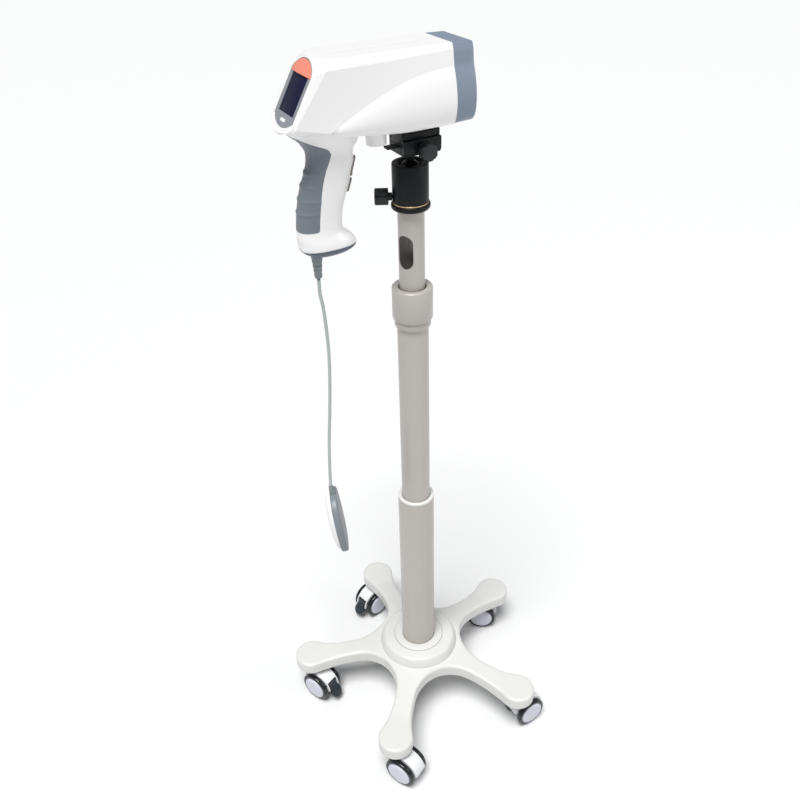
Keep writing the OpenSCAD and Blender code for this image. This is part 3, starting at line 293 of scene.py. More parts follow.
for v in star.data.vertices:
    v.co.z += rise_high * min(1, max(0, (rise_start - v.co.xy.length) / rise_run))
pointing_out(star)
walled(star, star_wall)
powder = coated("white_powder_coat", (0.61, 0.61, 0.59), (0.59, 0.59, 0.57), 0.32, 0.10, coat=0.2)
finished(star, "star_base", powder, "stand", "base_white", "base_casting")

# Hub: a stepped boss cast on the star, bored for the column, with the loose trim ring on it
# that covers the bore's edge. Both are painted like the star. The pins and the bolt are zinc plated.


def turned(profile, steps=96):
    """Spins a closed profile of radius and height, in millimetres, round the Z axis."""
    bpy.ops.object.select_all(action="DESELECT")
    bpy.ops.mesh.primitive_circle_add(vertices=len(profile), radius=0.01)
    piece = bpy.context.object
    for v, (r, z) in zip(piece.data.vertices, profile):
        v.co = (r / 1000, 0, z / 1000)
    bpy.ops.object.mode_set(mode="EDIT")
    bpy.ops.mesh.select_all(action="SELECT")
    bpy.ops.mesh.spin(steps=steps, angle=2 * math.pi, center=(0, 0, 0), axis=(0, 0, 1))
    bpy.ops.object.mode_set(mode="OBJECT")
    pointing_out(piece)
    return piece


def painted(material, *nodes):
    """Gives a finish to CAD nodes that are shown as they are."""
    for node in nodes:
        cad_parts[node].data.materials.clear()
        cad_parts[node].data.materials.append(material)


hub = turned([(31.05, 84), (36, 84), (36, 108), (70, 110), (74.9, 113.5), (74.9, 116), (74.2, 119),
    (72.2, 123.5), (70.6, 128), (69.2, 131.4), (66.8, 133.4), (64, 134), (48.6, 134), (47.4, 133.2),
    (47.4, 131.4), (31.05, 131.4)], 128)
finished(hub, "hub", powder, "stand", "base_white", angle=32)
ring = turned([(31.2, 131.5), (47, 131.5), (47, 133.9), (46.4, 134.7), (45.4, 135), (33, 135), (31.8, 134.4),
    (31.2, 133.4)], 128)
finished(ring, "column_trim_ring", powder, "stand", "base_white", "trim_ring", angle=32)
zinc = coated("bright_zinc", (0.62, 0.63, 0.65), (0.54, 0.55, 0.57), 0.28, 0.2, flake=1400, metal=1.0)
painted(zinc, "swivel_pins", "column_bolt")

# Casters: twin-wheel casters with a white moulded hood between two black tyres on pale discs.
# The disc is pressed into the tyre and stands a little proud. Two of them carry a brake pedal.
caster_turns = (146, 196, 295, 298, 6)
axle_trail, axle_high = 0.021, 0.03


def softened(node, width):
    """A merged copy of a CAD node whose sharp edges are rounded over this width in millimetres."""
    piece = bpy.data.objects.new(node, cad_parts[node].data.copy())
    bpy.context.scene.collection.objects.link(piece)
    chosen(piece)
    if piece.data.has_custom_normals:
        bpy.ops.mesh.customdata_custom_splitnormals_clear()
    bpy.ops.object.mode_set(mode="EDIT")
    bpy.ops.mesh.select_all(action="SELECT")
    bpy.ops.mesh.remove_doubles(threshold=0.000008)
    bpy.ops.mesh.dissolve_limited(angle_limit=math.radians(1))
    bpy.ops.object.mode_set(mode="OBJECT")
    bevel = piece.modifiers.new("eased_edges", "BEVEL")
    bevel.width = width / 1000
    bevel.segments = 3
    bevel.limit_method = "ANGLE"
    bevel.angle_limit = math.radians(30)
    bpy.ops.object.modifier_apply(modifier="eased_edges")
    return piece


def copy_of(piece):
    """A copy of a piece with its own mesh."""
    copy = piece.copy()
    copy.data = piece.data.copy()
    bpy.context.scene.collection.objects.link(copy)
    return copy


hood_plastic = coated("hood_white", (0.70, 0.71, 0.72), (0.67, 0.68, 0.69), 0.36, 0.12, flake=1600)
disc_plastic = coated("hub_disc_lilac", (0.57, 0.575, 0.65), (0.53, 0.535, 0.61), 0.34, 0.1, flake=1500)
tyre_rubber = jacket("tyre_black_rubber", (0.008, 0.008, 0.011), (0.005, 0.005, 0.007), 0.26, 1500, 0.12)
pedal_plastic = coated("pedal_dark_slate", (0.016, 0.025, 0.034), (0.012, 0.019, 0.026), 0.36, 0.2, flake=1500)
disc = turned([(0, 14.2), (23, 14.2), (23, 24.2), (22.6, 25.1), (21.5, 25.8), (18, 26.3), (12, 26.7),
    (6, 26.85), (0, 26.9)])
tyre = turned([(23.05, 14.2), (28, 14.2), (29.4, 14.8), (30, 16.2), (30, 21.0), (29.5, 22.5), (28.4, 23.5),
    (26.6, 24.0), (24.4, 23.9), (23.05, 23.2)])
for k, caster_turn in enumerate(caster_turns):
    leg = Matrix.Rotation(math.radians(first_leg + 360 / leg_count * k), 4, "Z")
    place = (Matrix.Translation(leg @ Vector((caster_circle / 1000, 0, 0)))
        @ Matrix.Rotation(math.radians(caster_turn), 4, "Z") @ Matrix.Translation((axle_trail, 0, axle_high)))
    for part, node, material, slot in ((disc, "wheels", disc_plastic, "hub_lilac"),
            (tyre, "tyres", tyre_rubber, "tyre_black")):
        pair = [copy_of(part), copy_of(part)]
        for wheel, side_turn in zip(pair, (90, -90)):
            wheel.matrix_world = place @ Matrix.Rotation(math.radians(side_turn), 4, "X")
        chosen(*pair)
        bpy.ops.object.transform_apply(location=True, rotation=True, scale=True)
        bpy.ops.object.join()
        finished(bpy.context.object, "caster_%s_%d" % (node, k + 1), material, "wheelset_%d" % (k + 1), slot,
            "%s_%d" % (node, k + 1), angle=40)
    finished(softened("hood_%d" % (k + 1), 1.3), "caster_hood_%d" % (k + 1), hood_plastic,
        "caster_%d" % (k + 1), "caster_white", "hood_%d" % (k + 1))
for k in (2, 3):
    finished(softened("brake_pedal_%d" % k, 1.2), "pedal_%d" % k, pedal_plastic, "pedal_%d" % k,
        "pedal_slate", "brake_pedal_%d" % k)
for part in (disc, tyre):
    bpy.data.objects.remove(part)

# Column: three drawn steel tubes that slide in each other, painted warm light grey. The lower one
# has a moulded guide bush in its rim; the middle one carries a ferrule and the clamping collar.
slot_turn, slot_radius, slot_straight, slot_middle = -150, 0.012, 0.0135, 0.9545
top_radius = 0.019
paint = coated("warm_grey_paint", (0.45, 0.42, 0.385), (0.43, 0.40, 0.37), 0.33, 0.10, flake=700, coat=0.15)
bush_plastic = coated("bush_light_grey", (0.66, 0.66, 0.64), (0.62, 0.62, 0.60), 0.42, 0.12, flake=1500)
for name, material, body, slot, node, profile in (
        ("column_lower", paint, "stand", "column_paint", "lower_tube",
            [(28.5, 90), (31, 90), (31, 491.5), (30.6, 491.9), (28.9, 491.9), (28.5, 491.5)]),
        ("column_bush", bush_plastic, "stand", "column_trim", "guide_bush",
            [(24.2, 455), (28.4, 455), (28.4, 492), (30.4, 492), (31, 492.5), (31, 494.6), (30.6, 495.5),
                (29.6, 496), (26.2, 496), (25, 495.4), (24.2, 494.2)]),
        ("column_middle", paint, "middle", "column_paint", "mid_tube",
            [(22, 280.4), (22.4, 280), (23.6, 280), (24, 280.4), (24, 861.6), (23.6, 862), (22.4, 862),
                (22, 861.6)]),
        ("column_ferrule", paint, "middle", "column_paint", "ferrule",
            [(24.05, 832), (25.9, 832), (26.9, 832.4), (27.5, 833.4), (27.5, 843.4), (27.1, 844.3),
                (26.2, 844.7), (24.05, 844.7)]),
        ("column_collar", paint, "collar", "column_paint", "collar",
            [(25.95, 845), (28.6, 845), (29.9, 845.5), (30.5, 846.8), (30.5, 893.6), (30.1, 895),
                (29.0, 895.9), (27.6, 896), (22.2, 896), (21.2, 895.6), (20.8, 894.8), (20.8, 888),
                (25.95, 868)])):
    finished(turned(profile), name, material, body, slot, node, angle=34)
top = turned([(17.2, 600.4), (17.6, 600), (18.6, 600), (19, 600.4), (19, 1015.2), (18.7, 1015.5),
    (17.2, 1015.5)])
bpy.ops.object.select_all(action="DESELECT")
bpy.ops.mesh.primitive_cylinder_add(vertices=64, radius=slot_radius, depth=2 * top_radius)
cutter = bpy.context.object
for v in cutter.data.vertices:
    v.co.y += slot_straight if v.co.y > 0 else -slot_straight
cutter.matrix_world = (Matrix.Rotation(math.radians(slot_turn), 4, "Z")
    @ Matrix.Translation((top_radius, 0, slot_middle))
    @ Matrix.Rotation(math.radians(90), 4, "Y") @ Matrix.Rotation(math.radians(90), 4, "Z"))
milled = top.modifiers.new("slot", "BOOLEAN")
milled.object = cutter
milled.operation = "DIFFERENCE"
milled.solver = "EXACT"
chosen(top)
bpy.ops.object.modifier_apply(modifier="slot")
bpy.data.objects.remove(cutter)
finished(top, "column_top", paint, "mast", "column_paint", "top_tube", angle=34)
nylon = coated("black_nylon", (0.030, 0.030, 0.033), (0.022, 0.022, 0.024), 0.5, 0.2, flake=1500)
painted(nylon, "mid_glide", "top_glide", "collet")

# Ball head: machined aluminium, anodised satin black, with a brass line over the panning base.
# The knobs are moulded. The ball is smooth black steel in an anodised cup.
anodised = coated("black_anodised", (0.006, 0.007, 0.008), (0.004, 0.005, 0.006), 0.40, 0.12, flake=2200,
    shine=0.22)
knob_rubber = jacket("knob_black_rubber", (0.009, 0.010, 0.012), (0.006, 0.007, 0.009), 0.5, 1800, 0.3)
brass = coated("brass_line", (0.66, 0.50, 0.31), (0.60, 0.44, 0.26), 0.3, 0.1, flake=1800, metal=1.0)
black_steel = coated("black_oxide_steel", (0.006, 0.006, 0.008), (0.004, 0.004, 0.006), 0.28, 0.08,
    flake=1800, shine=0.25)
pan = turned([(4.75, 1015.5), (24.8, 1015.5), (26.2, 1016.1), (27.3, 1017.4), (27.6, 1018.7), (27.6, 1021.3),
    (27.2, 1022.8), (26.5, 1023.6), (25.4, 1024), (10, 1024), (9.95, 1027.9), (4.75, 1027.9)])
finished(pan, "panning_base", anodised, "mast", "ball_head_black", "pan_base")
line = turned([(23.3, 1024), (25.2, 1024), (25.35, 1024.2), (25.35, 1025.4), (25.2, 1025.6), (23.3, 1025.6)])
finished(line, "brass_line", brass, "mast", "gold_line", "index_ring")
case = turned([(10, 1025.9), (24.3, 1025.9), (25.3, 1026.9), (25.3, 1078.0), (24.8, 1079.0), (23.8, 1079.5),
    (19.7, 1079.5), (18.9, 1079.1), (15.3, 1075.4), (15.25, 1074.4), (16.6, 1072.0), (17.6, 1069.0),
    (18.12, 1064.5), (20.5, 1064.5), (20.5, 1031.9), (10, 1031.9)])
finished(case, "ball_case", anodised, "pan_housing", "ball_head_black", "ball_housing")
painted(black_steel, "ball")
painted(anodised, "ball_seat")
for node, name, body in (("lock_knob", "case_lock_knob", "lock_knob"),
        ("clamp_knob", "plate_clamp_knob", "jaw_knob")):
    finished(softened(node, 0.8), name, knob_rubber, body, "knob_black", node)
for node, name, body, width in (("clamp", "plate_clamp", "head", 0.7),
        ("clamp_jaw", "plate_clamp_jaw", "jaw", 0.7), ("release_plate", "camera_plate", "head", 0.5)):
    finished(softened(node, width), name, anodised, body, "ball_head_black", node)

# Housing: two glossy white mouldings, left and right of a fine seam, that form the head and the
# pistol handle. A soft crease sweeps up each side, and the rear wraps round the screen's frame.
head_floor, head_high, head_half_wide, head_front = 1127, 103, 36.3, 42
shoulder_out = 1.11 * head_half_wide
crease_share = 0.738
face_lean, face_top, face_middle = math.radians(30), -134.5, 64.9
top_points, sole_points, crease_points = 12, 8, 24
moulding_wall = 0.0018


def curve_at(table, s):
    """A smooth value between the rows of a table, whose first column is the place s."""
    last = len(table) - 1
    i = max(1, min(last, next((k for k, row in enumerate(table) if row[0] >= s), last)))
    a, b = table[i - 1], table[i]
    before, after = table[max(0, i - 2)], table[min(last, i + 1)]
    t = (s - a[0]) / (b[0] - a[0])
    found = []
    for c in range(1, len(a)):
        slope_a = (b[c] - before[c]) / (b[0] - before[0]) * (b[0] - a[0])
        slope_b = (after[c] - a[c]) / (after[0] - a[0]) * (b[0] - a[0])
        found.append((2 * t ** 3 - 3 * t ** 2 + 1) * a[c] + (t ** 3 - 2 * t ** 2 + t) * slope_a
            + (3 * t ** 2 - 2 * t ** 3) * b[c] + (t ** 3 - t ** 2) * slope_b)
    return found


def side_outline(t):
    """Half section of the head at the share t of its length, from the top's middle to the underside's.

    The underside rises by lift and the rest shrinks with it. From the shoulder the side comes down to
    the crease, and from there it bows in to the sole, fully so only where the crease lies high.
    """
    tail = max(0, (t - 0.6) / 0.4)
    lift = 4 + 21 * max(0, (t - 0.25) / 0.75) ** 1.4
    shrink = 1 - lift / head_high
    crease = max(3.1 + 6.5 * tail, (head_high * (crease_share - max(0, t) ** 2.3) - lift) / shrink)
    k = crease / crease_share / head_high
    edge = 95.7 - 6.6 * t
    flat = shoulder_out + (12.2 - 15.2 * t) * (0.947 - crease / head_high)
    sole = 34 - 3 * t - 5 * tail
    points = [((head_half_wide - 1.5 * t) * i / top_points, head_high) for i in range(top_points + 1)]
    points += [(37.4 - t, 102.5), (38.85 - 0.5 * t, (102.5 + edge) / 2), (shoulder_out, edge)]
    points += [(shoulder_out + (flat - shoulder_out) * i / 4, edge + (crease - edge) * i / 4)
        for i in (1, 2, 3)]
    bulge = max(0, min(1, (k - 0.06) / 0.12))
    bow = [(flat, crease), (flat + 13 * k, crease * 0.6), (flat + (57.2 - flat) * k, -2.06 * k), (sole, 0)]
    for j in (1, 2):
        straight = [bow[0][c] + (bow[3][c] - bow[0][c]) * j / 3 for c in (0, 1)]
        bow[j] = [straight[c] + (bow[j][c] - straight[c]) * bulge for c in (0, 1)]
    for i in range(crease_points + 1):
        u = i / crease_points
        points.append(tuple((1 - u) ** 3 * bow[0][c] + 3 * (1 - u) ** 2 * u * bow[1][c]
            + 3 * (1 - u) * u * u * bow[2][c] + u ** 3 * bow[3][c] for c in (0, 1)))
    points += [(sole * (1 - i / sole_points), 0) for i in range(1, sole_points + 1)]
    return [Vector((y, lift + z * shrink)) for y, z in points]


def rear_of(z):
    """Place of the leaning face along the head, at the height z above the head's floor."""
    return face_top - (head_high - z) * math.tan(face_lean)


def face_outline(half, above, below, high_rise, low_rise):
    """Outline with arched ends on the screen's face, with its points matched to the side's points."""
    shares = list(enumerate((0, .4, .8, .95, 1, 1, 1, .95, .88, .78, .66, .52, .26, 0)))
    places = [i / 4 for i in range(12)] + [3, 3.3, 3.6, 4] + [4 + i / 4 for i in (1, 2, 3)]
    places += [5 + i / 4 for i in range(25)] + [11 + i / 4 for i in range(1, 9)]
    found = []
    for u in places:
        y = half * max(0, min(1, curve_at(shares, u)[0]))
        rise = high_rise if u < 5 else low_rise
        r = (half ** 2 + rise ** 2) / (2 * rise)
        drop = r - math.sqrt(r * r - y * y)
        if u <= 4:
            s = above - drop
        elif u < 6:
            s = above - high_rise + (low_rise - below - above + high_rise) * (u - 4) / 2
        else:
            s = drop - below
        z = face_middle + s * math.cos(face_lean)
        found.append(Vector((rear_of(z), y, head_floor + z)))
    return found


def on_side(p, t, inset=0.0):
    """Point of the head's section: p across it, at the share t of the way to the leaning face."""
    half_high = head_high / 2
    y = p.x * (1 - inset / head_half_wide)
    z = half_high + (p.y - half_high) * (1 - inset / half_high)
    return Vector((head_front + (rear_of(z) - head_front) * t, y, head_floor + z))


def section(t, inset=0.0):
    """Ring of points of the head, in millimetres, drawn in by inset."""
    return [on_side(p, t, inset) for p in side_outline(t)]


def panel_end(i, p):
    """Share of the length at which the side's panel ends: ever further from the face towards the top."""
    if i < top_points + 3:
        lead_in = 5 + 7.5 * min(1, i / top_points) ** 2
    else:
        lead_in = 4 + 8.5 * max(0, min(1, (p.y - 31) / 61))
    return 1 - lead_in / (head_front - rear_of(p.y))


def skin(rings):
    """Lays a grid over rings of points given in millimetres, one row of it to each ring."""
    bpy.ops.object.select_all(action="DESELECT")
    bpy.ops.mesh.primitive_grid_add(x_subdivisions=len(rings) - 1, y_subdivisions=len(rings[0]) - 1, size=1)
    piece = bpy.context.object
    for v in piece.data.vertices:
        i = round((v.co.x + 0.5) * (len(rings) - 1))
        j = round((v.co.y + 0.5) * (len(rings[0]) - 1))
        v.co = Vector(rings[i][j]) / 1000
    pointing_out(piece)
    return piece


# The head's skin runs from its front along the sides to the panel's end, from there in a round
# sweep to the rim about the screen's frame, and then into the opening that the frame sits in.
row_step, panel_from, panel_steps, sweep_steps = 0.03, 0.9, 4, 7
seam_gap, seam_deep, seam_row = 0.06, 0.09, 0.6
rings = [section(0, 2.6), section(0, 0.8), section(0.0012, 0.25)]
rings += [section(max(i * row_step, 0.0035)) for i in range(round(panel_from / row_step) + 1)]
ends = [panel_end(i, p) for i, p in enumerate(side_outline(0.95))]
for j in range(1, panel_steps + 1):
    shares = [panel_from + (end - panel_from) * j / panel_steps for end in ends]
    rings.append([on_side(side_outline(share)[i], share) for i, share in enumerate(shares)])
panel, corner = rings[-1], section(1)
rim = face_outline(35.9, 43.9, 51.5, 17, 16)
opening = face_outline(31.35, 42.35, 43.35, 16.5, 10.9)
for k in range(1, sweep_steps + 1):
    u = k / sweep_steps
    rings.append([(1 - u) ** 2 * a + 2 * u * (1 - u) * (0.1 * c + 0.45 * (a + b)) + u * u * b
        for a, b, c in zip(panel, rim, corner)])
rings.append([a.lerp(b, 0.5) for a, b in zip(rim, opening)])
rings.append(opening)
for depth, share in ((0.35, 0.008), (4, 0.01)):
    rings.append([p + Vector((depth, 0, 0)) - share * Vector((0, p.y, p.z - head_floor - face_middle))
        for p in opening])
for ring in rings:
    ring[0] = ring[0] + Vector((0, seam_gap, -seam_deep))
    ring[-1] = ring[-1] + Vector((0, seam_gap, seam_deep))
    for j in (1, -2):
        ring[j].y = min(ring[j].y, seam_row)
head_half = skin(rings)

# The handle is given by its height as a share of its length, how far its middle has swept back,
# and its depth and width there. The grip's edge is given by the height and how far back it lies.
handle_long, handle_start, handle_sweep, handle_deep, handle_half_wide = 151, -111, 41, 64, 20.5
grip_top, grip_end = 0.1, -0.722
seam_gap, seam_deep, seam_row = 0.12, 0.25, 0.8
handle_table = [(-0.993, 0.39, 0.29, 0.5), (-0.974, 0.39, 0.406, 0.78), (-0.94, 0.376, 0.5625, 1.05),
    (-0.9, 0.407, 0.625, 1.17), (-0.841, 0.463, 0.6, 1.15), (-0.801, 0.561, 0.547, 1.08),
    (-0.768, 0.629, 0.5, 1.02), (-0.702, 0.641, 0.484, 0.98), (-0.589, 0.59, 0.484, 0.98),
    (-0.464, 0.476, 0.5, 1), (-0.344, 0.332, 0.508, 1), (-0.265, 0.244, 0.484, 1),
    (-0.166, 0.127, 0.484, 1), (-0.073, 0.11, 0.487, 1.04), (-0.02, 0.09, 0.558, 1.17),
    (0.03, 0.134, 0.617, 1.38), (0.079, 0.207, 0.711, 1.65), (0.13, 0.256, 0.805, 1.85),
    (0.16, 0.256, 0.836, 1.9), (0.19, 0.25, 0.8, 1.8)]
grip_edge = [(-0.722, 0.95), (-0.719, 0.88), (-0.713, 0.84), (-0.70, 0.824), (-0.666, 0.81), (-0.6, 0.785),
    (-0.467, 0.71), (-0.339, 0.62), (-0.215, 0.48), (-0.155, 0.38), (-0.09, 0.285), (-0.066, 0.275),
    (-0.0265, 0.366), (-0.0033, 0.512), (0.033, 0.83), (0.07, 1.1), (0.1, 1.33)]


def soft_corner(share, power):
    """A share of a radius, drawn towards the corner of its box when the power is below one."""
    return math.copysign(abs(share) ** power, share)


def handle_point(s, angle, out=0.0):
    """Point on the handle's skin: s is its height as a share of the length, angle runs from the front."""
    sweep, depth, width = curve_at(handle_table, s)
    c, d = (soft_corner(f(math.radians(angle)), 0.8) for f in (math.cos, math.sin))
    return Vector((handle_start - handle_sweep * sweep + (handle_deep * depth + out) * c,
        (handle_half_wide * width + out) * d, head_floor + handle_long * s))


def grip_angle(s):
    """Angle from the front at which the rubber grip begins at the height s."""
    if s > grip_top or s < grip_end:
        return 180
    sweep, depth = curve_at(handle_table, s)[:2]
    c = handle_sweep * (sweep - curve_at(grip_edge, s)[0]) / (handle_deep * depth)
    return math.degrees(math.acos(max(-1, min(1, soft_corner(c, 1.25)))))


heights = [0.19, 0.16, 0.13, 0.115, grip_top + 0.0001, grip_top - 0.0001, 0.09, 0.08, 0.07, 0.06, 0.05,
    0.04, 0.03, 0.02, 0.01, 0.005, 0, -0.005]
heights += [-0.01 - 0.01 * i for i in range(71)]
heights += [-0.715, grip_end + 0.0001, grip_end - 0.0001, -0.73, -0.74, -0.76, -0.78, -0.80, -0.82, -0.84,
    -0.86, -0.88, -0.892, -0.9]
rows = []
for s in heights:
    edge = grip_angle(s)
    row = [handle_point(s, edge * j / 24) for j in range(25)]
    row[0] = row[0] + Vector((-seam_deep, seam_gap, 0))
    row[1].y = min(row[1].y, seam_row)
    if edge == 180:
        row[-1] = row[-1] + Vector((seam_deep, seam_gap, 0))
        row[-2].y = min(row[-2].y, seam_row)
    rows.append(row)
rows.append([Vector((p.x + (-127 - p.x) * 0.1, p.y * 0.85, p.z)) for p in rows[-1]])
handle_half = skin(rows)
head_white = coated("glossy_white_moulding", (0.82, 0.812, 0.805), (0.80, 0.792, 0.785), 0.30, 0.05,
    flake=900, coat=0.1)
stub = turned([(0, 1111.5), (12.3, 1111.5), (13.2, 1112), (13.5, 1113), (13.5, 1136.5), (0, 1136.5)])
stub.location.x = -0.049
finished(stub, "mount_stub", head_white, "head", "head_white")
for side_name, mirror in (("left", 1), ("right", -1)):
    shells = [copy_of(head_half), copy_of(handle_half)]
    for shell in shells:
        shell.scale.y = mirror
    chosen(*shells)
    bpy.ops.object.transform_apply(location=True, rotation=True, scale=True)
    for shell, heart, angle in zip(shells, (Vector((-0.04, 0, 1.18)), Vector((-0.13, 0, 1.07))), (15, 45)):
        chosen(shell)
        facing_away(shell, heart)
        walled(shell, moulding_wall)
        bpy.ops.object.shade_smooth_by_angle(angle=math.radians(angle))
    chosen(*shells)
    bpy.ops.object.join()
    finished(bpy.context.object, "shell_" + side_name, head_white, "head", "head_white",
        "housing_" + side_name, angle=0)
for part in (head_half, handle_half):
    bpy.data.objects.remove(part)

# Grip: soft grey rubber moulded over the back of the handle, with four low ridges for the palm.
# Its edge lies in a fine groove of the housing.
ridge_high, ridge_wide, ridges_down = 1.2, 2.6, (35, 51, 68, 85)
rubber_wall = 0.0028
grip_rubber = jacket("grip_grey_rubber", (0.155, 0.18, 0.205), (0.135, 0.158, 0.182), 0.52, 1600, 0.30)


def palm(s, angle):
    """How far the grip stands out: 0.3 mm all over, and four soft ridges across its back."""
    back = max(0, -math.cos(math.radians(angle))) ** 0.6
    return 0.3 + ridge_high * back * sum(
        math.exp(-((s * handle_long + down) / ridge_wide) ** 2) for down in ridges_down)


rows = []
for s in [0.0999, 0.097, 0.092] + [0.087 - 0.004 * i for i in range(201)] + [-0.7165, -0.7195, -0.7219]:
    edge = grip_angle(s)
    angles = [edge + (360 - 2 * edge) * j / 48 for j in range(49)]
    rows.append([handle_point(s, angle, palm(s, angle)) for angle in angles])
grip = skin(rows)
walled(grip, rubber_wall)
finished(grip, "rubber_grip", grip_rubber, "head", "grip_rubber", "grip_cover", angle=45)

# Keys: two brownish-grey moulded rocker keys for the forefinger, each in its own window in the
# handle's front edge, with a spring behind it.
key_plastic = coated("key_brown_grey", (0.20, 0.175, 0.155), (0.17, 0.15, 0.13), 0.45, 0.2, flake=1500)
for node in ("upper_key", "lower_key"):
    finished(softened(node, 0.7), node + "_moulding", key_plastic, node, "key_grey", node)

# Bottom cap: a slate moulding pressed into the handle's end, and the tapered rubber boot that
# comes out of it and guards the lead.
slate = coated("slate_moulding", (0.085, 0.107, 0.14), (0.075, 0.095, 0.125), 0.42, 0.15, flake=1500)
rows = []
for s in (-0.9, -0.9003, -0.91, -0.92, -0.93, -0.94, -0.95, -0.96, -0.967, -0.974, -0.98, -0.986, -0.99,
        -0.993):
    rows.append([handle_point(s, 360 * j / 64, -0.15) for j in range(65)])
heart = sum(rows[-1][:-1], Vector()) / 64
rows.append([p.lerp(heart, 0.3) for p in rows[-1]])
rows.append([heart.copy() for p in rows[-1]])
rows.insert(0, [p.lerp(Vector((-128, 0, p.z)), 0.15) for p in rows[0]])
finished(skin(rows), "handle_bottom_cap", slate, "head", "cap_slate", "handle_cap", angle=45)
boot = turned([(2.7, 945.3), (4.6, 945.3), (5.2, 946.2), (5.6, 950.5), (5.0, 951.1), (5.3, 952.2), (6.1, 957.2),
    (5.5, 957.8), (5.8, 958.9), (6.6, 963.9), (6.0, 964.5), (6.3, 965.6), (7.2, 970.8), (7.6, 974), (8, 976.5),
    (8, 984), (2.7, 984)])
boot.location.x = -0.145
boot_rubber = jacket("boot_grey_green", (0.20, 0.235, 0.245), (0.18, 0.21, 0.22), 0.5, 1400, 0.25)
boot = finished(boot, "lead_boot", boot_rubber, None, "relief_grey", "strain_relief", angle=50)
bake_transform(boot)

# Front ring: a blue-grey moulding that closes the front. Its panel is set back and carries the
# lamp board, the lens barrel and the coated lens.
lens_high = 1181
band_start, band_end, band_inset, band_taper, band_steps = 42.5, 70.6, 0.85, 0.9, 8
ring_plastic = coated("blue_grey_moulding", (0.19, 0.235, 0.305), (0.175, 0.218, 0.285), 0.38, 0.12, flake=1500)


def ring_row(x, inset):
    """Closed ring of the front's outline, both sides, drawn in by inset."""
    half = section(0, inset)
    return [Vector((x, p.y, p.z)) for p in half] + [Vector((x, -p.y, p.z)) for p in half[-2::-1]]


def round_row(x, radius):
    """Circle about the lens axis with as many points as the front's outline."""
    angles = [math.atan2(p.y, p.z - lens_high) for p in ring_row(x, 0)]
    return [Vector((x, radius * math.sin(a), lens_high + radius * math.cos(a))) for a in angles]


rows = [ring_row(38, 2.7), ring_row(42, 2.7), ring_row(42.05, 1.3)]
for i in range(band_steps + 1):
    share = i / band_steps
    rows.append(ring_row(band_start + (band_end - band_start) * share, band_inset + band_taper * share))
rows += [ring_row(71.5, 2.0), ring_row(72, 2.7), ring_row(72, 4.2), ring_row(71.6, 4.9), ring_row(70.6, 5.1)]
rows += [ring_row(53.6, 5.6), ring_row(52.7, 6.0), ring_row(52.3, 6.8)]
rows += [round_row(52.3, 33.2), round_row(51.9, 32.6), round_row(51.2, 32.4), round_row(51.2, 16),
    round_row(48, 16)]
finished(skin(rows), "front_ring_moulding", ring_plastic, "head", "ring_slate", "front_ring", angle=40)
glass = coated("lens_coated_glass", (0.02, 0.035, 0.05), (0.03, 0.02, 0.05), 0.07, 0.02, coat=1.0)
lamp_white = coated("lamp_board_white", (0.75, 0.73, 0.66), (0.7, 0.68, 0.6), 0.4, 0.1, flake=1500)
board_green = coated("board_green", (0.03, 0.16, 0.07), (0.025, 0.13, 0.06), 0.4, 0.2, flake=1500)
painted(nylon, "camera")
painted(glass, "lens_glass")
painted(lamp_white, "lamp_ring")
painted(board_green, "main_board")

# Screen: dark display glass in a grey frame with arched ends. A coral cap lies in the upper arch,
# and a small white button below the screen opens the menu.
frame_narrowed, back_thinned = 0.925, 0.6
bezel_grey = coated("bezel_mid_grey", (0.235, 0.245, 0.27), (0.215, 0.225, 0.25), 0.45, 0.12, flake=1500)
display = coated("display_dark_glass", (0.009, 0.009, 0.036), (0.007, 0.007, 0.028), 0.3, 0.01, shine=0.12)
coral = coated("coral_cap", (0.80, 0.25, 0.17), (0.77, 0.23, 0.15), 0.34, 0.05, coat=0.15)
face_places = ((-41, -43), (-30, -34.2), (-22, -25.7), (22.4, 24), (41, 42))


def along_face(s):
    """Place up the leaning face, in millimetres from the frame's middle."""
    k = next((i for i in range(1, 4) if s < face_places[i][0]), 4)
    (a, c), (b, d) = face_places[k - 1], face_places[k]
    return c + (d - c) * (s - a) / (b - a)


upright = Matrix.Rotation(math.radians(-26), 4, "Y") @ Matrix.Translation((0.15912, 0, -1.18875))
leaning = Matrix.Translation((-0.1565, 0, 1.1919)) @ Matrix.Rotation(face_lean, 4, "Y")
for node, name, body, slot, material, width in (
        ("screen_bezel", "screen_frame", "head", "bezel_grey", bezel_grey, 0.5),
        ("screen", "display", "head", "screen_dark", display, 0.3),
        ("top_cap", "coral_cap", "head", "cap_coral", coral, 0.4),
        ("menu_button", "menu_key", "menu_button", "head_white", head_white, 0.4)):
    piece = softened(node, width)
    for v in piece.data.vertices:
        x, y, z = upright @ v.co
        v.co = leaning @ Vector((x * back_thinned if x < 0 else x, y * frame_narrowed,
            along_face(z * 1000) / 1000))
    finished(piece, name, material, body, slot, node)

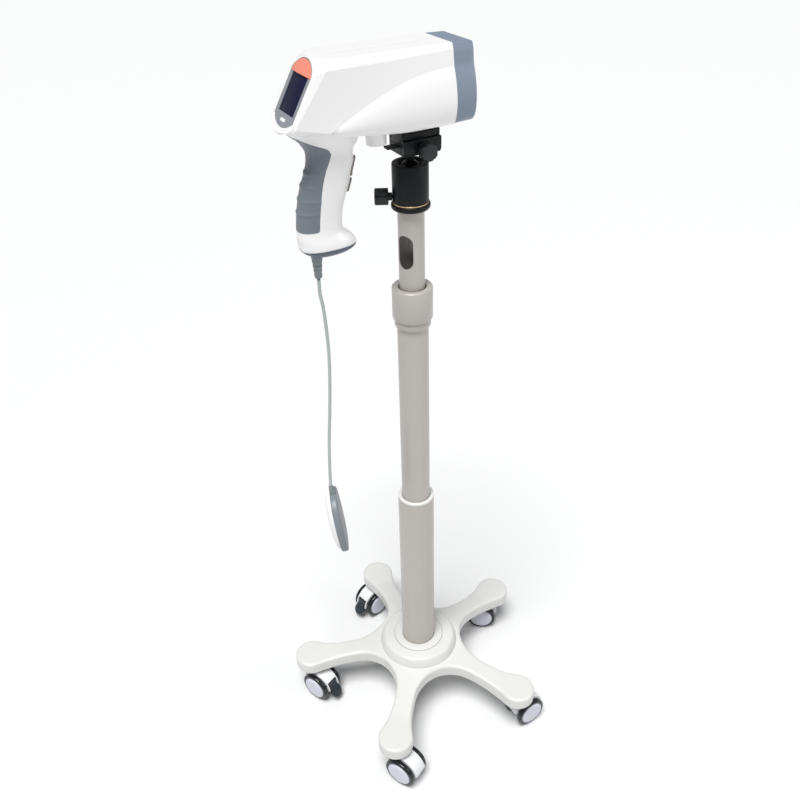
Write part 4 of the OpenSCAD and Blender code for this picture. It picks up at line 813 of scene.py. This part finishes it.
# Hand switch: a grey moulded base and a white cap that is pressed into it against a spring, both
# soft-cornered pillows. It hangs on the lead, with a short rubber boot where the lead goes in.
switch_middle, switch_half_wide, switch_half_long, switch_shortened = -74.5, 42, 68, 0.86
switch_points = 96
switch_grey = coated("switch_grey_moulding", (0.19, 0.21, 0.235), (0.17, 0.19, 0.215), 0.4, 0.15, flake=1500)


def pillow(inset, x):
    """Soft-cornered outline of the switch, drawn in by inset, at the depth x."""
    ring = []
    for j in range(switch_points + 1):
        a = math.radians(360 * j / switch_points)
        ring.append(Vector((x, -(switch_half_wide - inset) * soft_corner(math.cos(a), 0.8),
            switch_middle + switch_shortened * (switch_half_long - inset) * soft_corner(math.sin(a), 0.8))))
    return ring


def closing(x):
    """Row of points that all lie in the switch's middle, at the depth x, and close its skin."""
    return [Vector((x, 0, switch_middle))] * (switch_points + 1)


def hung(piece):
    """Turns a piece of the switch into the way it hangs, at the end of the lead."""
    piece.matrix_world = (Matrix.Translation((-0.156, 0, 0.578)) @ Matrix.Rotation(math.radians(-21), 4, "Z")
        @ Matrix.Rotation(math.radians(-7), 4, "Y"))
    return piece


rows = [closing(2.9), pillow(3.7, 2.9), pillow(3.7, -5.4)]
rows += [pillow(inset, x) for inset, x in ((3.2, -5.5), (1.8, -5.5), (0.9, -5.1), (0.3, -4.3), (0, -3.4),
    (0, 2.2), (0.15, 3.4), (0.6, 4.4), (1.6, 5.2), (3, 5.5))]
rows.append(closing(5.5))
finished(hung(skin(rows)), "switch_grey_base", switch_grey, "hand_switch", "switch_grey", "switch_base",
    angle=40)
rows = [closing(-0.5)]
rows += [pillow(inset, -x) for inset, x in ((4, 0.5), (4, 5.6), (4.2, 6.6), (5.0, 8.4), (6.6, 10.2),
    (9.5, 11.9), (13.5, 13.4), (18.5, 14.8), (24, 15.7), (29, 16.2), (34, 16.45), (40, 16.5))]
rows.append(closing(-16.5))
lid = skin(rows)
boot = turned([(2.55, -0.2), (3.2, -0.2), (3.6, -0.8), (4.1, -7), (4.6, -11.5), (5.2, -15.8), (5.2, -18.7),
    (2.55, -18.7)])
finished(hung(boot), "switch_lead_boot", boot_rubber, "hand_switch", "relief_grey", angle=50)
finished(hung(lid), "switch_white_cap", head_white, "press_cap", "head_white", "switch_cap", angle=40)
